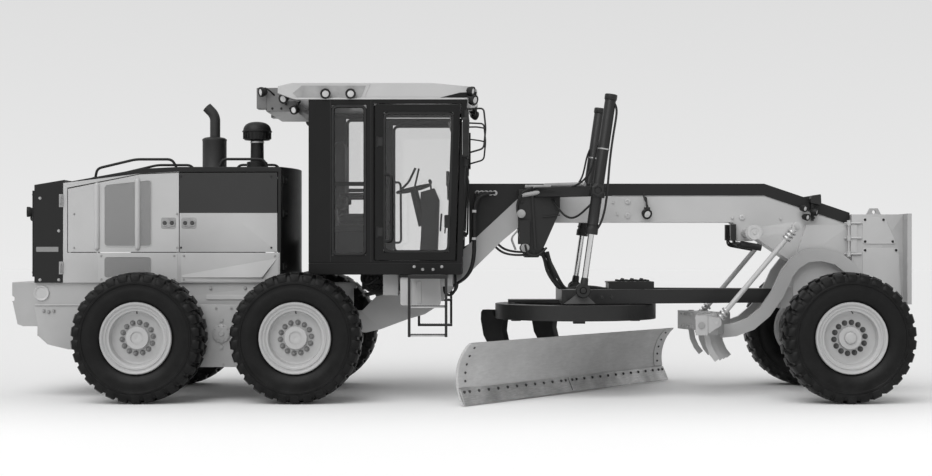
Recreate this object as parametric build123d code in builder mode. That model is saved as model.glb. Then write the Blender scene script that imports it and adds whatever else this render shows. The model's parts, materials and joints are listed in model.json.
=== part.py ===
from build123d import *
import os
from math import atan2, cos, degrees, hypot, radians, sin

# Motor grader with an articulated frame, a mid-mount scarifier and a front push block.
# Millimetres. +X is forward, +Y is the machine's left, +Z is up.
# The origin lies on the ground below the middle of the machine's length and width.

os.makedirs("parts", exist_ok=True)

# ---------------------------------------------------------------- driving dimensions
front_axle_x = 3777
tandem_x = -2383
tandem_spacing = 1540
articulation_x = -1300
machine_rear_x = -4593
machine_front_x = 4593

tyre_radius = 640
tyre_half_width = 222
wheel_centre_y = 1045
bead_radius = 318
rim_seat_gap = 0.3
rim_well_radius = 272
rim_wall = 14
spindle_radius = 60
hub_radius = 112
running_gap = 0.1
seat_gap = 0.3
panel_gap = 8

case_inner_y = 600
case_outer_y = 798
case_height = 620
case_end_height = 470

rail_outer_y = 550
rail_inner_y = 450
rail_bottom_z = 945
rail_top_z = 1165
fork_radius = 180
fork_plate = 60
pivot_pin_radius = 60
pivot_bottom_z = 632
pivot_top_z = 1098

hood_half = 580
hood_rear_x = -4328
hood_split_x = -4025
hood_front_x = -1835
hood_nose_x = -1705
hood_bottom_z = 1165.3
hood_top_z = 2337
hood_ceiling_z = 2290
hood_seam_z = 1469
hood_wall = 40
hood_door_thickness = 34
door_parting_x = -2863
hood_pin_radius = 12
grille_hinge_y = 515
grille_bottom_z = 1225
grille_top_z = 2100
grille_pin_radius = 9

boom_half = 150
boom_top_z = 2187
boom_bottom_z = 1785
boom_bend_x = 3130
nose_x = 4018
nose_top_z = 1885
bolster_rear_x = 3420
bolster_half = 200
bolster_bottom_z = 930
axle_lug_near = 125
axle_lug_far = 175
axle_pin_z = 770
axle_pin_radius = 40
block_half = 238
block_plate_half = 400

cab_half = 800
cab_rear_x = -1531
cab_front_x = 0
cab_floor_bottom_z = 1250
cab_sill_z = 1365
cab_top_z = 3000
cab_wall = 50
cab_lean = 50
b_pillar_x = -880
cab_door_front_x = -62
cab_door_thickness = 40
cab_pin_radius = 12
roof_top_z = 3163
tunnel_half = 165
tunnel_top_z = 1592

ball_x = 3290
ball_z = 1000
ball_radius = 70
circle_x = 1175
circle_radius = 840
circle_inner_radius = 640
circle_bottom_z = 785
circle_top_z = 940
drawbar_bottom_z = 950
drawbar_top_z = 1095
blade_angle = 51.78
blade_length = 3700
blade_height = 600
blade_ground_gap = 12
blade_thickness = 22
pitch_axis_y = 330
pitch_axis_z = 300
leg_x = 450
leg_thickness = 90
shift_stroke = 450
shoe_bottom_z = 755
shoe_reach = 632
pitch_tube_radius = 50
carrier_x = 545
rail_head_y = 125
rail_head = 50
rail_web = 16
lower_rail_z = 170
upper_rail_z = 420
rail_reach = 1100
shift_lug_x = 1060
shift_barrel_rear_x = -750
shift_barrel_length = 1100
shift_barrel_radius = 42
shift_rod_radius = 24
edge_thickness = 16

lift_y = 720
lift_ball = (1210, 1090)
lift_barrel_end = (1292, 1660)
lift_barrel_top_z = 3055
lift_barrel_radius = 56
lift_rod_radius = 31
collar_radius = 80
collar_reach = collar_radius + 0.3 - lift_y
stud_radius = 28
eye_radius = 62
slot_run = 13

saddle_front_x = 1000
saddle_rear_x = 570

axle_pivot_z = 560
kingpin_y = 720
yoke_radius = 94
yoke_bottom_z = 415
yoke_top_z = 705
tongue_half = 40
lean_pin_radius = 30
kingpin_radius = 30
knuckle_plate = 40
web_outer_y = 870
bar_pin_radius = 15
lean_bar_x = 187
tie_rod_z = 322
tie_stem_radius = 12
tie_ball_radius = 26
steer_arm = 220
lean_bar_z = 250

scarifier_pivot = (4080, 1180)
arm_pin_radius = 35
rocker_pivot = (2935, 1672)
rocker_shaft_radius = 47
rocker_end = (3365, 1730)
link_foot = (2555, 765)
link_y = 640
link_pin_radius = 22
link_rod_radius = 26
link_eye_radius = 56
link_eye_offset = 6
link_foot_bore = 38
lever_outer_y = 612
scarifier_bottom_z = 640
scarifier_depth = 200
draft_arm_inner_y = 246
draft_arm_outer_y = 298

rear_wheel_x = tandem_x - tandem_spacing / 2
middle_wheel_x = tandem_x + tandem_spacing / 2


# ---------------------------------------------------------------- wheels
# Six wheels. Section points are (outboard from the wheel's middle plane, radius).
def tyre_section(x, side):
    """Closed tyre section with bulged sidewalls, drawn above the axle at station x."""
    def at(out, radius):
        return (side * (wheel_centre_y + out), tyre_radius + radius)

    w = tyre_half_width
    r = tyre_radius
    flange = bead_radius + 36
    with BuildSketch(Plane.YZ.offset(x)) as section:
        with BuildLine():
            Line(at(-w + 48, bead_radius), at(-w + 48, flange))
            ThreePointArc(at(-w + 48, flange), at(-w, 470), at(-w + 20, r - 45))
            Line(at(-w + 20, r - 45), at(-w + 42, r))
            Line(at(-w + 42, r), at(w - 42, r))
            Line(at(w - 42, r), at(w - 20, r - 45))
            ThreePointArc(at(w - 20, r - 45), at(w, 470), at(w - 48, flange))
            Line(at(w - 48, flange), at(w - 48, bead_radius))
            Line(at(w - 48, bead_radius), at(w - 75, bead_radius))
            Line(at(w - 75, bead_radius), at(w - 75, flange))
            ThreePointArc(at(w - 75, flange), at(w - 30, 470), at(w - 52, r - 60))
            Line(at(w - 52, r - 60), at(-w + 52, r - 60))
            ThreePointArc(at(-w + 52, r - 60), at(-w + 30, 470), at(-w + 75, flange))
            Line(at(-w + 75, flange), at(-w + 75, bead_radius))
            Line(at(-w + 75, bead_radius), at(-w + 48, bead_radius))
        make_face()
    return section.sketch


def rim_section(x, side):
    """Half section of the rim: barrel with two flanges, dished disc, hub with a spindle bore."""
    def at(out, radius):
        return (side * (wheel_centre_y + out), tyre_radius + radius)

    seat = bead_radius - rim_seat_gap
    well = rim_well_radius
    flange = bead_radius + 32
    w = tyre_half_width
    with BuildSketch(Plane.YZ.offset(x)) as section:
        with BuildLine():
            Polyline(
                at(-w + 47, seat), at(-w + 47, flange), at(-w + 30, flange), at(-w + 22, flange - 22),
                at(-w + 22, seat - rim_wall), at(-130, well), at(55, well), at(55, hub_radius),
                at(-70, hub_radius), at(-70, spindle_radius + running_gap),
                at(45, spindle_radius + running_gap), at(45, 0), at(150, 0), at(150, 70),
                at(128, hub_radius), at(80, hub_radius), at(80, well), at(118, well),
                at(w - 22, seat - rim_wall), at(w - 22, flange - 22), at(w - 30, flange),
                at(w - 47, flange), at(w - 47, seat), at(-w + 47, seat))
        make_face()
    return section.sketch


# name, station x, side (-1 right, +1 left)
wheels = [
    ("front_right", front_axle_x, -1),
    ("front_left", front_axle_x, 1),
    ("middle_right", middle_wheel_x, -1),
    ("middle_left", middle_wheel_x, 1),
    ("rear_right", rear_wheel_x, -1),
    ("rear_left", rear_wheel_x, 1),
]
for name, x, side in wheels:
    wheel_axis = Axis((x, 0, tyre_radius), (0, 1, 0))
    with BuildPart() as tyre:
        add(tyre_section(x, side))
        revolve(axis=wheel_axis)
    tyre.part.label = f"tyre_{name}"
    export_step(tyre.part, f"parts/tyre_{name}.step")
    with BuildPart() as rim:
        add(rim_section(x, side))
        revolve(axis=wheel_axis)
    rim.part.label = f"rim_{name}"
    export_step(rim.part, f"parts/rim_{name}.step")

# ---------------------------------------------------------------- rear chassis
# Tandem cases: one walking beam each side, tallest at its middle, with two wheel spindles.
case_reach = tandem_spacing / 2 + 210
with BuildPart() as tandem_cases:
    with BuildSketch(Plane.XZ.offset(case_inner_y)):
        with BuildLine():
            Polyline(
                (tandem_x - case_reach, tyre_radius - case_end_height / 2 + 110),
                (tandem_x - case_reach + 90, tyre_radius - case_end_height / 2),
                (tandem_x - 250, tyre_radius - case_height / 2),
                (tandem_x + 250, tyre_radius - case_height / 2),
                (tandem_x + case_reach - 90, tyre_radius - case_end_height / 2),
                (tandem_x + case_reach, tyre_radius - case_end_height / 2 + 110),
                (tandem_x + case_reach, tyre_radius + case_end_height / 2 - 110),
                (tandem_x + case_reach - 90, tyre_radius + case_end_height / 2),
                (tandem_x + 250, tyre_radius + case_height / 2),
                (tandem_x - 250, tyre_radius + case_height / 2),
                (tandem_x - case_reach + 90, tyre_radius + case_end_height / 2),
                (tandem_x - case_reach, tyre_radius + case_end_height / 2 - 110), close=True)
        make_face()
    extrude(amount=case_outer_y - case_inner_y)
    with BuildSketch(Plane.XZ.offset(case_outer_y)):
        with Locations((rear_wheel_x, tyre_radius), (middle_wheel_x, tyre_radius)):
            Circle(spindle_radius)
    extrude(amount=wheel_centre_y + 40 - case_outer_y)
    mirror(about=Plane.XZ)
tandem_cases.part.label = "tandem_cases"
export_step(tandem_cases.part, "parts/tandem_cases.step")

# Rear frame: two rails with rear side plates, cross members, the drive axle housing that the
# tandem cases hang on, and the fork of the articulation joint.
frame_rear_x = -4335
with BuildPart() as rear_frame:
    with BuildSketch(Plane.XZ.offset(rail_inner_y)):
        with BuildLine():
            Polyline(
                (frame_rear_x, rail_top_z), (frame_rear_x, 925), (-4290, 620), (-4200, 540),
                (-3990, 490), (-3700, 490), (-3450, rail_bottom_z), (-1640, rail_bottom_z),
                (-1640, rail_top_z), close=True)
        make_face()
    extrude(amount=rail_outer_y - rail_inner_y)
    mirror(about=Plane.XZ)
    # cross members: rear x, front x, bottom z
    for x0, x1, z0 in [(frame_rear_x, -4235, 620), (-3560, -3460, 990), (-1760, -1640, 990)]:
        with BuildSketch(Plane.XY.offset(z0)):
            with Locations(((x0 + x1) / 2, 0)):
                Rectangle(x1 - x0, 2 * rail_inner_y)
        extrude(amount=rail_top_z - z0)
    with BuildSketch(Plane.XZ):
        with Locations((tandem_x, tyre_radius)):
            Circle(190)
    extrude(amount=case_inner_y, both=True)
    with BuildSketch(Plane.XY.offset(700)):
        with Locations((tandem_x, 0)):
            Rectangle(440, 700)
    extrude(amount=rail_top_z - 700)
    with BuildSketch(Plane.XY.offset(rail_bottom_z)):
        with Locations((tandem_x, 0)):
            Rectangle(360, 2 * rail_inner_y)
    extrude(amount=rail_top_z - rail_bottom_z)
    with BuildSketch(Plane.XY.offset(pivot_bottom_z - seat_gap - fork_plate)):
        with Locations((-1700, 0)):
            Rectangle(230, 500)
    extrude(amount=rail_top_z - pivot_bottom_z + seat_gap + fork_plate)
    for z0 in (pivot_bottom_z - seat_gap - fork_plate, pivot_top_z + seat_gap):
        with BuildSketch(Plane.XY.offset(z0)):
            with Locations((articulation_x, 0)):
                Circle(fork_radius)
            with Locations(((articulation_x - 1700) / 2, 0)):
                Rectangle(articulation_x + 1700, 2 * fork_radius)
        extrude(amount=fork_plate)
    with BuildSketch(Plane.XY.offset(pivot_bottom_z - seat_gap)):
        with Locations((articulation_x, 0)):
            Circle(pivot_pin_radius)
    extrude(amount=pivot_top_z - pivot_bottom_z + 2 * seat_gap)
rear_frame.part.label = "rear_frame"
export_step(rear_frame.part, "parts/rear_frame.step")

# Rear bumper: a slotted counterweight block on the frame's rear cross member.
with BuildPart() as rear_bumper:
    with BuildSketch(Plane.XZ):
        with BuildLine():
            Polyline(
                (machine_rear_x, 1168), (machine_rear_x, 1030), (-4570, 1015), (-4570, 985),
                (-4590, 970), (-4540, 740), (-4480, 720), (frame_rear_x, 720),
                (frame_rear_x, 1168), close=True)
        make_face()
    extrude(amount=450, both=True)
rear_bumper.part.label = "rear_bumper"
export_step(rear_bumper.part, "parts/rear_bumper.step")

# Engine with its gearbox: one heavy block between the rails.
with BuildPart() as engine:
    with BuildSketch(Plane.XY.offset(rail_top_z)):
        with Locations((-2700, 0)):
            Rectangle(1150, 700)
    extrude(amount=850)
    with BuildSketch(Plane.XY.offset(rail_top_z)):
        with Locations((-3330, 0)):
            Rectangle(110, 900)
    extrude(amount=800)
engine.part.label = "engine"
export_step(engine.part, "parts/engine.step")

# Hood: fixed shell with the cooling section, roof, skirt and convex front wall. Its sides are
# open between the cooling section and the front wall, where four doors close it.
hood_profile = [
    (hood_rear_x, hood_bottom_z), (hood_rear_x, 2155), (hood_split_x, 2206),
    (hood_split_x, 2178), (-3258, 2318), (-2865, hood_top_z), (hood_front_x, hood_top_z),
    (hood_front_x, hood_bottom_z)]
door_top = [(hood_split_x + 30, 2125), (-3258, 2268), (-2865, 2284), (hood_front_x - 30, 2287)]
with BuildPart() as hood_shell:
    with BuildSketch(Plane.XZ):
        with BuildLine():
            Polyline(*hood_profile, close=True)
        make_face()
    extrude(amount=hood_half, both=True)
    with BuildSketch(Plane.XY.offset(hood_bottom_z)):
        with BuildLine():
            ThreePointArc((hood_front_x, -hood_half), (hood_nose_x, 0), (hood_front_x, hood_half))
            Line((hood_front_x, hood_half), (hood_front_x, -hood_half))
        make_face()
    extrude(amount=hood_top_z - hood_bottom_z)
    # engine room, open below
    with BuildSketch(Plane.XZ):
        with BuildLine():
            Polyline(
                (hood_split_x, hood_bottom_z - 1), (hood_split_x, 2130), (-3258, 2272),
                (-2865, hood_ceiling_z), (hood_front_x, hood_ceiling_z),
                (hood_front_x, hood_bottom_z - 1), close=True)
        make_face()
    extrude(amount=hood_half - hood_wall, both=True, mode=Mode.SUBTRACT)
    # duct through the cooling section, open to the rear
    with BuildSketch(Plane.YZ.offset(hood_rear_x - 1)):
        with Locations((0, 1650)):
            Rectangle(2 * hood_half - 120, 780)
    extrude(amount=hood_split_x - hood_rear_x + 2, mode=Mode.SUBTRACT)
    # door openings, both sides
    with BuildSketch(Plane.XZ):
        with BuildLine():
            Polyline(
                (hood_split_x + 30, hood_seam_z), *door_top, (hood_front_x - 30, hood_seam_z),
                close=True)
        make_face()
    extrude(amount=hood_half + 1, both=True, mode=Mode.SUBTRACT)
    # latch post behind the parting of the doors, one each side
    with BuildSketch(Plane.XY.offset(hood_seam_z - 60)):
        with Locations((door_parting_x, -hood_half + 78), (door_parting_x, hood_half - 78)):
            Rectangle(80, 60)
    extrude(amount=hood_ceiling_z - hood_seam_z + 60)
    with BuildSketch(Plane.XY.offset(hood_seam_z - 60)):
        with Locations((door_parting_x, -hood_half + 56), (door_parting_x, hood_half - 56)):
            Rectangle(80, 104)
    extrude(amount=50)
    # lugs that hold the rear grille door's pins
    for z0 in (grille_bottom_z - 35, grille_top_z + seat_gap):
        with BuildSketch(Plane.XY.offset(z0)):
            with Locations((hood_rear_x - 24, grille_hinge_y)):
                Circle(18)
            with Locations((hood_rear_x - 11, grille_hinge_y)):
                Rectangle(26, 36)
            with Locations((hood_rear_x - 24, grille_hinge_y)):
                Circle(grille_pin_radius + running_gap, mode=Mode.SUBTRACT)
        extrude(amount=35 - seat_gap)
hood_shell.part.label = "hood_shell"
export_step(hood_shell.part, "parts/hood_shell.step")

# Hood doors: plain panels as thick as the door, each with its hinge pins in the upright edge
# that turns. Outlines on the right side are mirrored to the left.
hinge_inset = 17
rear_hinge_x = hood_split_x + 30 + panel_gap + hinge_inset
front_hinge_x = hood_front_x - 30 - panel_gap - hinge_inset
door_bottom_z = hood_seam_z + panel_gap
door_outlines = {
    "rear": [
        (rear_hinge_x - hinge_inset, door_bottom_z), (rear_hinge_x - hinge_inset, 2122 - panel_gap),
        (-3258, 2260), (-2872, 2276), (door_parting_x - 4, 2276), (door_parting_x - 4, door_bottom_z)],
    "front": [
        (door_parting_x + 4, door_bottom_z), (door_parting_x + 4, 2276),
        (front_hinge_x + hinge_inset, 2279), (front_hinge_x + hinge_inset, door_bottom_z)],
}
for end, outline in door_outlines.items():
    with BuildPart() as hood_door:
        with BuildSketch(Plane.XZ.offset(hood_half - hood_door_thickness)):
            with BuildLine():
                Polyline(*outline, close=True)
            make_face()
        extrude(amount=hood_door_thickness)
        hinge_x = rear_hinge_x if end == "rear" else front_hinge_x
        with BuildSketch(Plane.XY.offset(hood_seam_z + seat_gap)):
            with Locations((hinge_x, -hood_half + hood_door_thickness / 2)):
                Circle(hood_pin_radius)
        extrude(amount=60)
    hood_door.part.label = f"hood_door_{end}_right"
    export_step(hood_door.part, f"parts/hood_door_{end}_right.step")
    with BuildPart() as hood_door_left:
        mirror(hood_door.part, about=Plane.XZ)
    hood_door_left.part.label = f"hood_door_{end}_left"
    export_step(hood_door_left.part, f"parts/hood_door_{end}_left.step")

# Rear grille door, hinged at its left edge on a pin that stands in two lugs of the shell's rear.
with BuildPart() as rear_grille_door:
    with BuildSketch(Plane.XY.offset(grille_bottom_z)):
        with Locations((hood_rear_x - 24, 0)):
            Rectangle(36, 2 * grille_hinge_y - 20)
        with Locations((hood_rear_x - 24, grille_hinge_y)):
            Circle(18)
    extrude(amount=grille_top_z - grille_bottom_z)
    with BuildSketch(Plane.YZ.offset(hood_rear_x - 43)):
        with Locations((0, (grille_bottom_z + grille_top_z) / 2)):
            Rectangle(820, 700)
    extrude(amount=18, mode=Mode.SUBTRACT)
    with BuildSketch(Plane.XY.offset(grille_bottom_z - 25)):
        with Locations((hood_rear_x - 24, grille_hinge_y)):
            Circle(grille_pin_radius)
    extrude(amount=grille_top_z - grille_bottom_z + 50)
rear_grille_door.part.label = "rear_grille_door"
export_step(rear_grille_door.part, "parts/rear_grille_door.step")

# Exhaust: muffler canister and a stack that bends to the rear.
stack_x = -2590
muffler_x = -2610
with BuildPart() as exhaust_stack:
    with BuildSketch(Plane.XY.offset(hood_top_z + seat_gap)):
        with Locations((muffler_x, 0)):
            Circle(125)
    extrude(amount=345)
    with BuildSketch(Plane.XY.offset(hood_top_z + 345)):
        with Locations((stack_x, 0)):
            Circle(54)
    extrude(amount=190)
    with BuildSketch(Plane.XY.offset(hood_top_z + 535)):
        with Locations((stack_x, 0)):
            Circle(54)
    revolve(axis=Axis((stack_x - 165, 0, hood_top_z + 535), (0, -1, 0)), revolution_arc=48)
    with BuildSketch(Plane.XY.offset(hood_top_z + 343)):
        with Locations((stack_x, 0)):
            Circle(46)
    extrude(amount=30, mode=Mode.SUBTRACT)
exhaust_stack.part.label = "exhaust_stack"
export_step(exhaust_stack.part, "parts/exhaust_stack.step")

# Air precleaner: base, neck and bowl, turned about one upright axis.
precleaner_x = -2163
with BuildPart() as air_precleaner:
    with BuildSketch(Plane.XZ):
        with BuildLine():
            base_z = hood_top_z + seat_gap
            Polyline(
                (precleaner_x, base_z), (precleaner_x + 112, base_z), (precleaner_x + 112, base_z + 85),
                (precleaner_x + 74, base_z + 100), (precleaner_x + 74, base_z + 270),
                (precleaner_x + 150, base_z + 300), (precleaner_x + 155, base_z + 430),
                (precleaner_x + 120, base_z + 500), (precleaner_x, base_z + 505), close=True)
        make_face()
    revolve(axis=Axis((precleaner_x, 0, 0), (0, 0, 1)))
air_precleaner.part.label = "air_precleaner"
export_step(air_precleaner.part, "parts/air_precleaner.step")

# ---------------------------------------------------------------- front chassis
# Main frame: one long box from the articulation barrel, under the cab, up the gooseneck and
# along the boom to the bolster over the front axle.
gooseneck_x = 62
neck_top = [(-644, 1119), (-520, 1250), (gooseneck_x, 1560)]
with BuildPart() as main_frame:
    with BuildSketch(Plane.XZ):
        with BuildLine():
            Polyline(
                *neck_top, (gooseneck_x, boom_top_z), (boom_bend_x, boom_top_z),
                (nose_x, nose_top_z), (nose_x, bolster_bottom_z),
                (bolster_rear_x, bolster_bottom_z), (bolster_rear_x, 1370),
                (2800, boom_bottom_z), (640, boom_bottom_z), (415, 1600), (-188, 1009),
                (-283, 903), (-397, 830), (-572, 779), (-861, 672), (-1005, 640),
                (articulation_x, 640), (articulation_x, 860), (-1057, 860), (-892, 1026),
                close=True)
        make_face()
    extrude(amount=boom_half, both=True)
    # cross members that carry the cab: rear x, front x, bottom z
    for x0, x1, z0 in [(-800, -650, 1040), (-250, -100, 1130)]:
        with BuildSketch(Plane.XY.offset(z0)):
            with Locations(((x0 + x1) / 2, 0)):
                Rectangle(x1 - x0, 1240)
        extrude(amount=cab_floor_bottom_z - z0)
    with BuildSketch(Plane.XY.offset(pivot_bottom_z)):
        with Locations((articulation_x, 0)):
            Circle(boom_half)
    extrude(amount=pivot_top_z - pivot_bottom_z)
    # bolster cheeks that widen the nose over the axle
    with BuildSketch(Plane.XZ):
        with BuildLine():
            Polyline(
                (bolster_rear_x, bolster_bottom_z), (bolster_rear_x, 1330), (3560, 1760),
                (nose_x, 1760), (nose_x, bolster_bottom_z), close=True)
        make_face()
    extrude(amount=bolster_half, both=True)
    # socket housing for the drawbar ball, with a round pocket
    with BuildSketch(Plane.YZ.offset(ball_x + 10)):
        with Locations((0, ball_z)):
            Rectangle(240, 220)
    extrude(amount=bolster_rear_x - ball_x - 10)
    with BuildSketch(Plane.YZ.offset(ball_x)):
        with Locations((0, ball_z)):
            Circle(ball_radius + running_gap)
    extrude(amount=ball_radius + seat_gap, mode=Mode.SUBTRACT)
    # axle lugs fore and aft of the oscillation pin
    for x0 in (front_axle_x - axle_lug_far, front_axle_x + axle_lug_near):
        with BuildSketch(Plane.YZ.offset(x0)):
            with Locations((0, 822)):
                Rectangle(200, 234)
        extrude(amount=axle_lug_far - axle_lug_near)
    with BuildSketch(Plane.YZ.offset(front_axle_x - axle_lug_far)):
        with Locations((0, axle_pin_z)):
            Circle(axle_pin_radius + running_gap)
    extrude(amount=2 * axle_lug_far, mode=Mode.SUBTRACT)
    # bearing of the scarifier's rocker shaft, under the boom
    with BuildSketch(Plane.XZ):
        with BuildLine():
            Polyline(
                (rocker_pivot[0] - 115, boom_bottom_z + 10), (rocker_pivot[0] - 115, 1650),
                (rocker_pivot[0] - 70, 1590), (rocker_pivot[0] + 70, 1590),
                (rocker_pivot[0] + 240, 1650), (rocker_pivot[0] + 240, boom_bottom_z + 10),
                close=True)
        make_face()
    extrude(amount=boom_half, both=True)
    with BuildSketch(Plane.XZ):
        with Locations(rocker_pivot):
            Circle(rocker_shaft_radius + running_gap)
    extrude(amount=boom_half + 1, both=True, mode=Mode.SUBTRACT)
    with BuildSketch(Plane.XY.offset(pivot_bottom_z)):
        with Locations((articulation_x, 0)):
            Circle(pivot_pin_radius + running_gap)
    extrude(amount=pivot_top_z - pivot_bottom_z, mode=Mode.SUBTRACT)
main_frame.part.label = "main_frame"
export_step(main_frame.part, "parts/main_frame.step")

# Push block bolted to the nose, with a wide front plate, a lift eye and the pins that the
# scarifier's draft arms turn on.
block_front_x = machine_front_x - 45
with BuildPart() as push_block:
    with BuildSketch(Plane.XY.offset(940)):
        with Locations(((nose_x + block_front_x) / 2, 0)):
            Rectangle(block_front_x - nose_x, 2 * block_half)
    extrude(amount=1865 - 940)
    with BuildSketch(Plane.XY.offset(940)):
        with Locations(((block_front_x + machine_front_x) / 2, 0)):
            Rectangle(machine_front_x - block_front_x, 2 * block_plate_half)
    extrude(amount=1870 - 940)
    with BuildSketch(Plane.XZ):
        with BuildLine():
            Polyline((4225, 1860), (4265, 1935), (4345, 1935), (4385, 1860), close=True)
        make_face()
        with Locations((4305, 1895)):
            Circle(20, mode=Mode.SUBTRACT)
    extrude(amount=20, both=True)
    with BuildSketch(Plane.XZ):
        with Locations(scarifier_pivot):
            Circle(arm_pin_radius)
    extrude(amount=draft_arm_outer_y + 8, both=True)
push_block.part.label = "push_block"
export_step(push_block.part, "parts/push_block.step")

# Cab base: floor with a tunnel over the gooseneck.
with BuildPart() as cab_base:
    with BuildSketch(Plane.XY.offset(cab_floor_bottom_z)):
        with Locations(((cab_rear_x + cab_front_x) / 2, 0)):
            Rectangle(cab_front_x - cab_rear_x, 2 * cab_half - 10)
    extrude(amount=cab_sill_z - cab_floor_bottom_z)
    with BuildSketch(Plane.XZ):
        with BuildLine():
            Polyline(
                (-420, cab_sill_z), (cab_front_x, cab_sill_z), (cab_front_x, tunnel_top_z),
                close=True)
        make_face()
    extrude(amount=tunnel_half + 40, both=True)
    with BuildSketch(Plane.XZ):
        with BuildLine():
            Polyline((-610, 1240), (-530, 1262), (70, 1582), (70, 1240), close=True)
        make_face()
    extrude(amount=tunnel_half, both=True, mode=Mode.SUBTRACT)
cab_base.part.label = "cab_base"
export_step(cab_base.part, "parts/cab_base.step")


def front_line(z):
    """Station of the cab's leaning front face at height z."""
    return cab_front_x + cab_lean * (z - cab_sill_z) / (cab_top_z - cab_sill_z)


# Openings of the cab frame. Side outlines are (x, z), rear and front ones are (half width, z).
door_hole = [
    (b_pillar_x, cab_sill_z + 20), (b_pillar_x, cab_top_z - 45),
    (front_line(cab_top_z - 45) - 55, cab_top_z - 45),
    (front_line(cab_sill_z + 20) - 55, cab_sill_z + 20)]
rear_side_window = [(-1300, 1440), (-1300, 2940), (b_pillar_x - 75, 2940), (b_pillar_x - 75, 1440)]
rear_window = (620, 1560, 2920)
windscreen = (715, 1700, 2930)
foot_window = (tunnel_half + 75, 715, 1430, 1640)
with BuildPart() as cab_frame:
    with BuildSketch(Plane.XZ):
        with BuildLine():
            Polyline(
                (cab_rear_x, cab_sill_z), (cab_rear_x, cab_top_z),
                (front_line(cab_top_z), cab_top_z), (cab_front_x, cab_sill_z), close=True)
        make_face()
    extrude(amount=cab_half - 5, both=True)
    with BuildSketch(Plane.XZ):
        with BuildLine():
            Polyline(
                (cab_rear_x + cab_wall, cab_sill_z), (cab_rear_x + cab_wall, cab_top_z),
                (front_line(cab_top_z) - cab_wall, cab_top_z),
                (cab_front_x - cab_wall, cab_sill_z), close=True)
        make_face()
    extrude(amount=cab_half - 5 - cab_wall, both=True, mode=Mode.SUBTRACT)
    for outline in (door_hole, rear_side_window):
        with BuildSketch(Plane.XZ):
            with BuildLine():
                Polyline(*outline, close=True)
            make_face()
        extrude(amount=cab_half, both=True, mode=Mode.SUBTRACT)
    with BuildSketch(Plane.YZ.offset(cab_rear_x - 1)):
        with Locations((0, (rear_window[1] + rear_window[2]) / 2)):
            Rectangle(2 * rear_window[0], rear_window[2] - rear_window[1])
    extrude(amount=cab_wall + 2, mode=Mode.SUBTRACT)
    with BuildSketch(Plane.YZ.offset(cab_front_x - cab_wall - 1)):
        with Locations((0, (windscreen[1] + windscreen[2]) / 2)):
            Rectangle(2 * windscreen[0], windscreen[2] - windscreen[1])
        with Locations((0, cab_sill_z + 120)):
            Rectangle(2 * tunnel_half + 82, 241)
        for side in (-1, 1):
            with Locations((side * (foot_window[0] + foot_window[1]) / 2,
                            (foot_window[2] + foot_window[3]) / 2)):
                Rectangle(foot_window[1] - foot_window[0], foot_window[3] - foot_window[2])
    extrude(amount=cab_wall + cab_lean + 2, mode=Mode.SUBTRACT)
cab_frame.part.label = "cab_frame"
export_step(cab_frame.part, "parts/cab_frame.step")

# Fixed glazing: one pane in each side, rear, front and foot window.
pane = 8
with BuildPart() as cab_glass:
    with BuildSketch(Plane.XZ.offset(cab_half - 30)):
        with BuildLine():
            x0 = rear_side_window[0][0] + seat_gap
            x1 = rear_side_window[2][0] - seat_gap
            z0 = rear_side_window[0][1] + seat_gap
            z1 = rear_side_window[1][1] - seat_gap
            Polyline((x0, z0), (x0, z1), (x1, z1), (x1, z0), close=True)
        make_face()
    extrude(amount=pane)
    mirror(about=Plane.XZ)
    with BuildSketch(Plane.YZ.offset(cab_rear_x + 20)):
        with Locations((0, (rear_window[1] + rear_window[2]) / 2)):
            Rectangle(2 * rear_window[0] - 2 * seat_gap, rear_window[2] - rear_window[1] - 2 * seat_gap)
    extrude(amount=pane)
    # panes in the leaning front: outline (half width inner, half width outer, bottom z, top z)
    for inner, outer, z0, z1 in [(0, windscreen[0], windscreen[1], windscreen[2]), foot_window]:
        with BuildSketch(Plane.XZ):
            with BuildLine():
                Polyline(
                    (front_line(z0) - 30, z0 + seat_gap), (front_line(z1) - 30, z1 - seat_gap),
                    (front_line(z1) - 30 + pane, z1 - seat_gap),
                    (front_line(z0) - 30 + pane, z0 + seat_gap), close=True)
            make_face()
        extrude(amount=outer - seat_gap, both=True)
        if inner:
            with BuildSketch(Plane.XZ):
                with Locations((front_line(z0), (z0 + z1) / 2)):
                    Rectangle(200, z1 - z0 + 20)
            extrude(amount=inner + seat_gap, both=True, mode=Mode.SUBTRACT)
cab_glass.part.label = "cab_glass"
export_step(cab_glass.part, "parts/cab_glass.step")

# Cab roof with the climate unit behind it.
with BuildPart() as cab_roof:
    with BuildSketch(Plane.XZ):
        with BuildLine():
            Polyline(
                (-1680, cab_top_z), (-1840, 3060), (-1840, 3130), (-1700, roof_top_z),
                (-300, roof_top_z), (100, 3125), (150, 3095), (150, 3060), (80, cab_top_z),
                close=True)
        make_face()
    extrude(amount=cab_half - 20, both=True)
    with BuildSketch(Plane.XY.offset(2895)):
        with Locations((-1830, 0)):
            Rectangle(300, 1180)
    extrude(amount=240)
    with BuildSketch(Plane.XY.offset(2925)):
        with Locations((-2015, -510), (-2015, 510)):
            Rectangle(130, 150)
    extrude(amount=210)
cab_roof.part.label = "cab_roof"
export_step(cab_roof.part, "parts/cab_roof.step")

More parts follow.
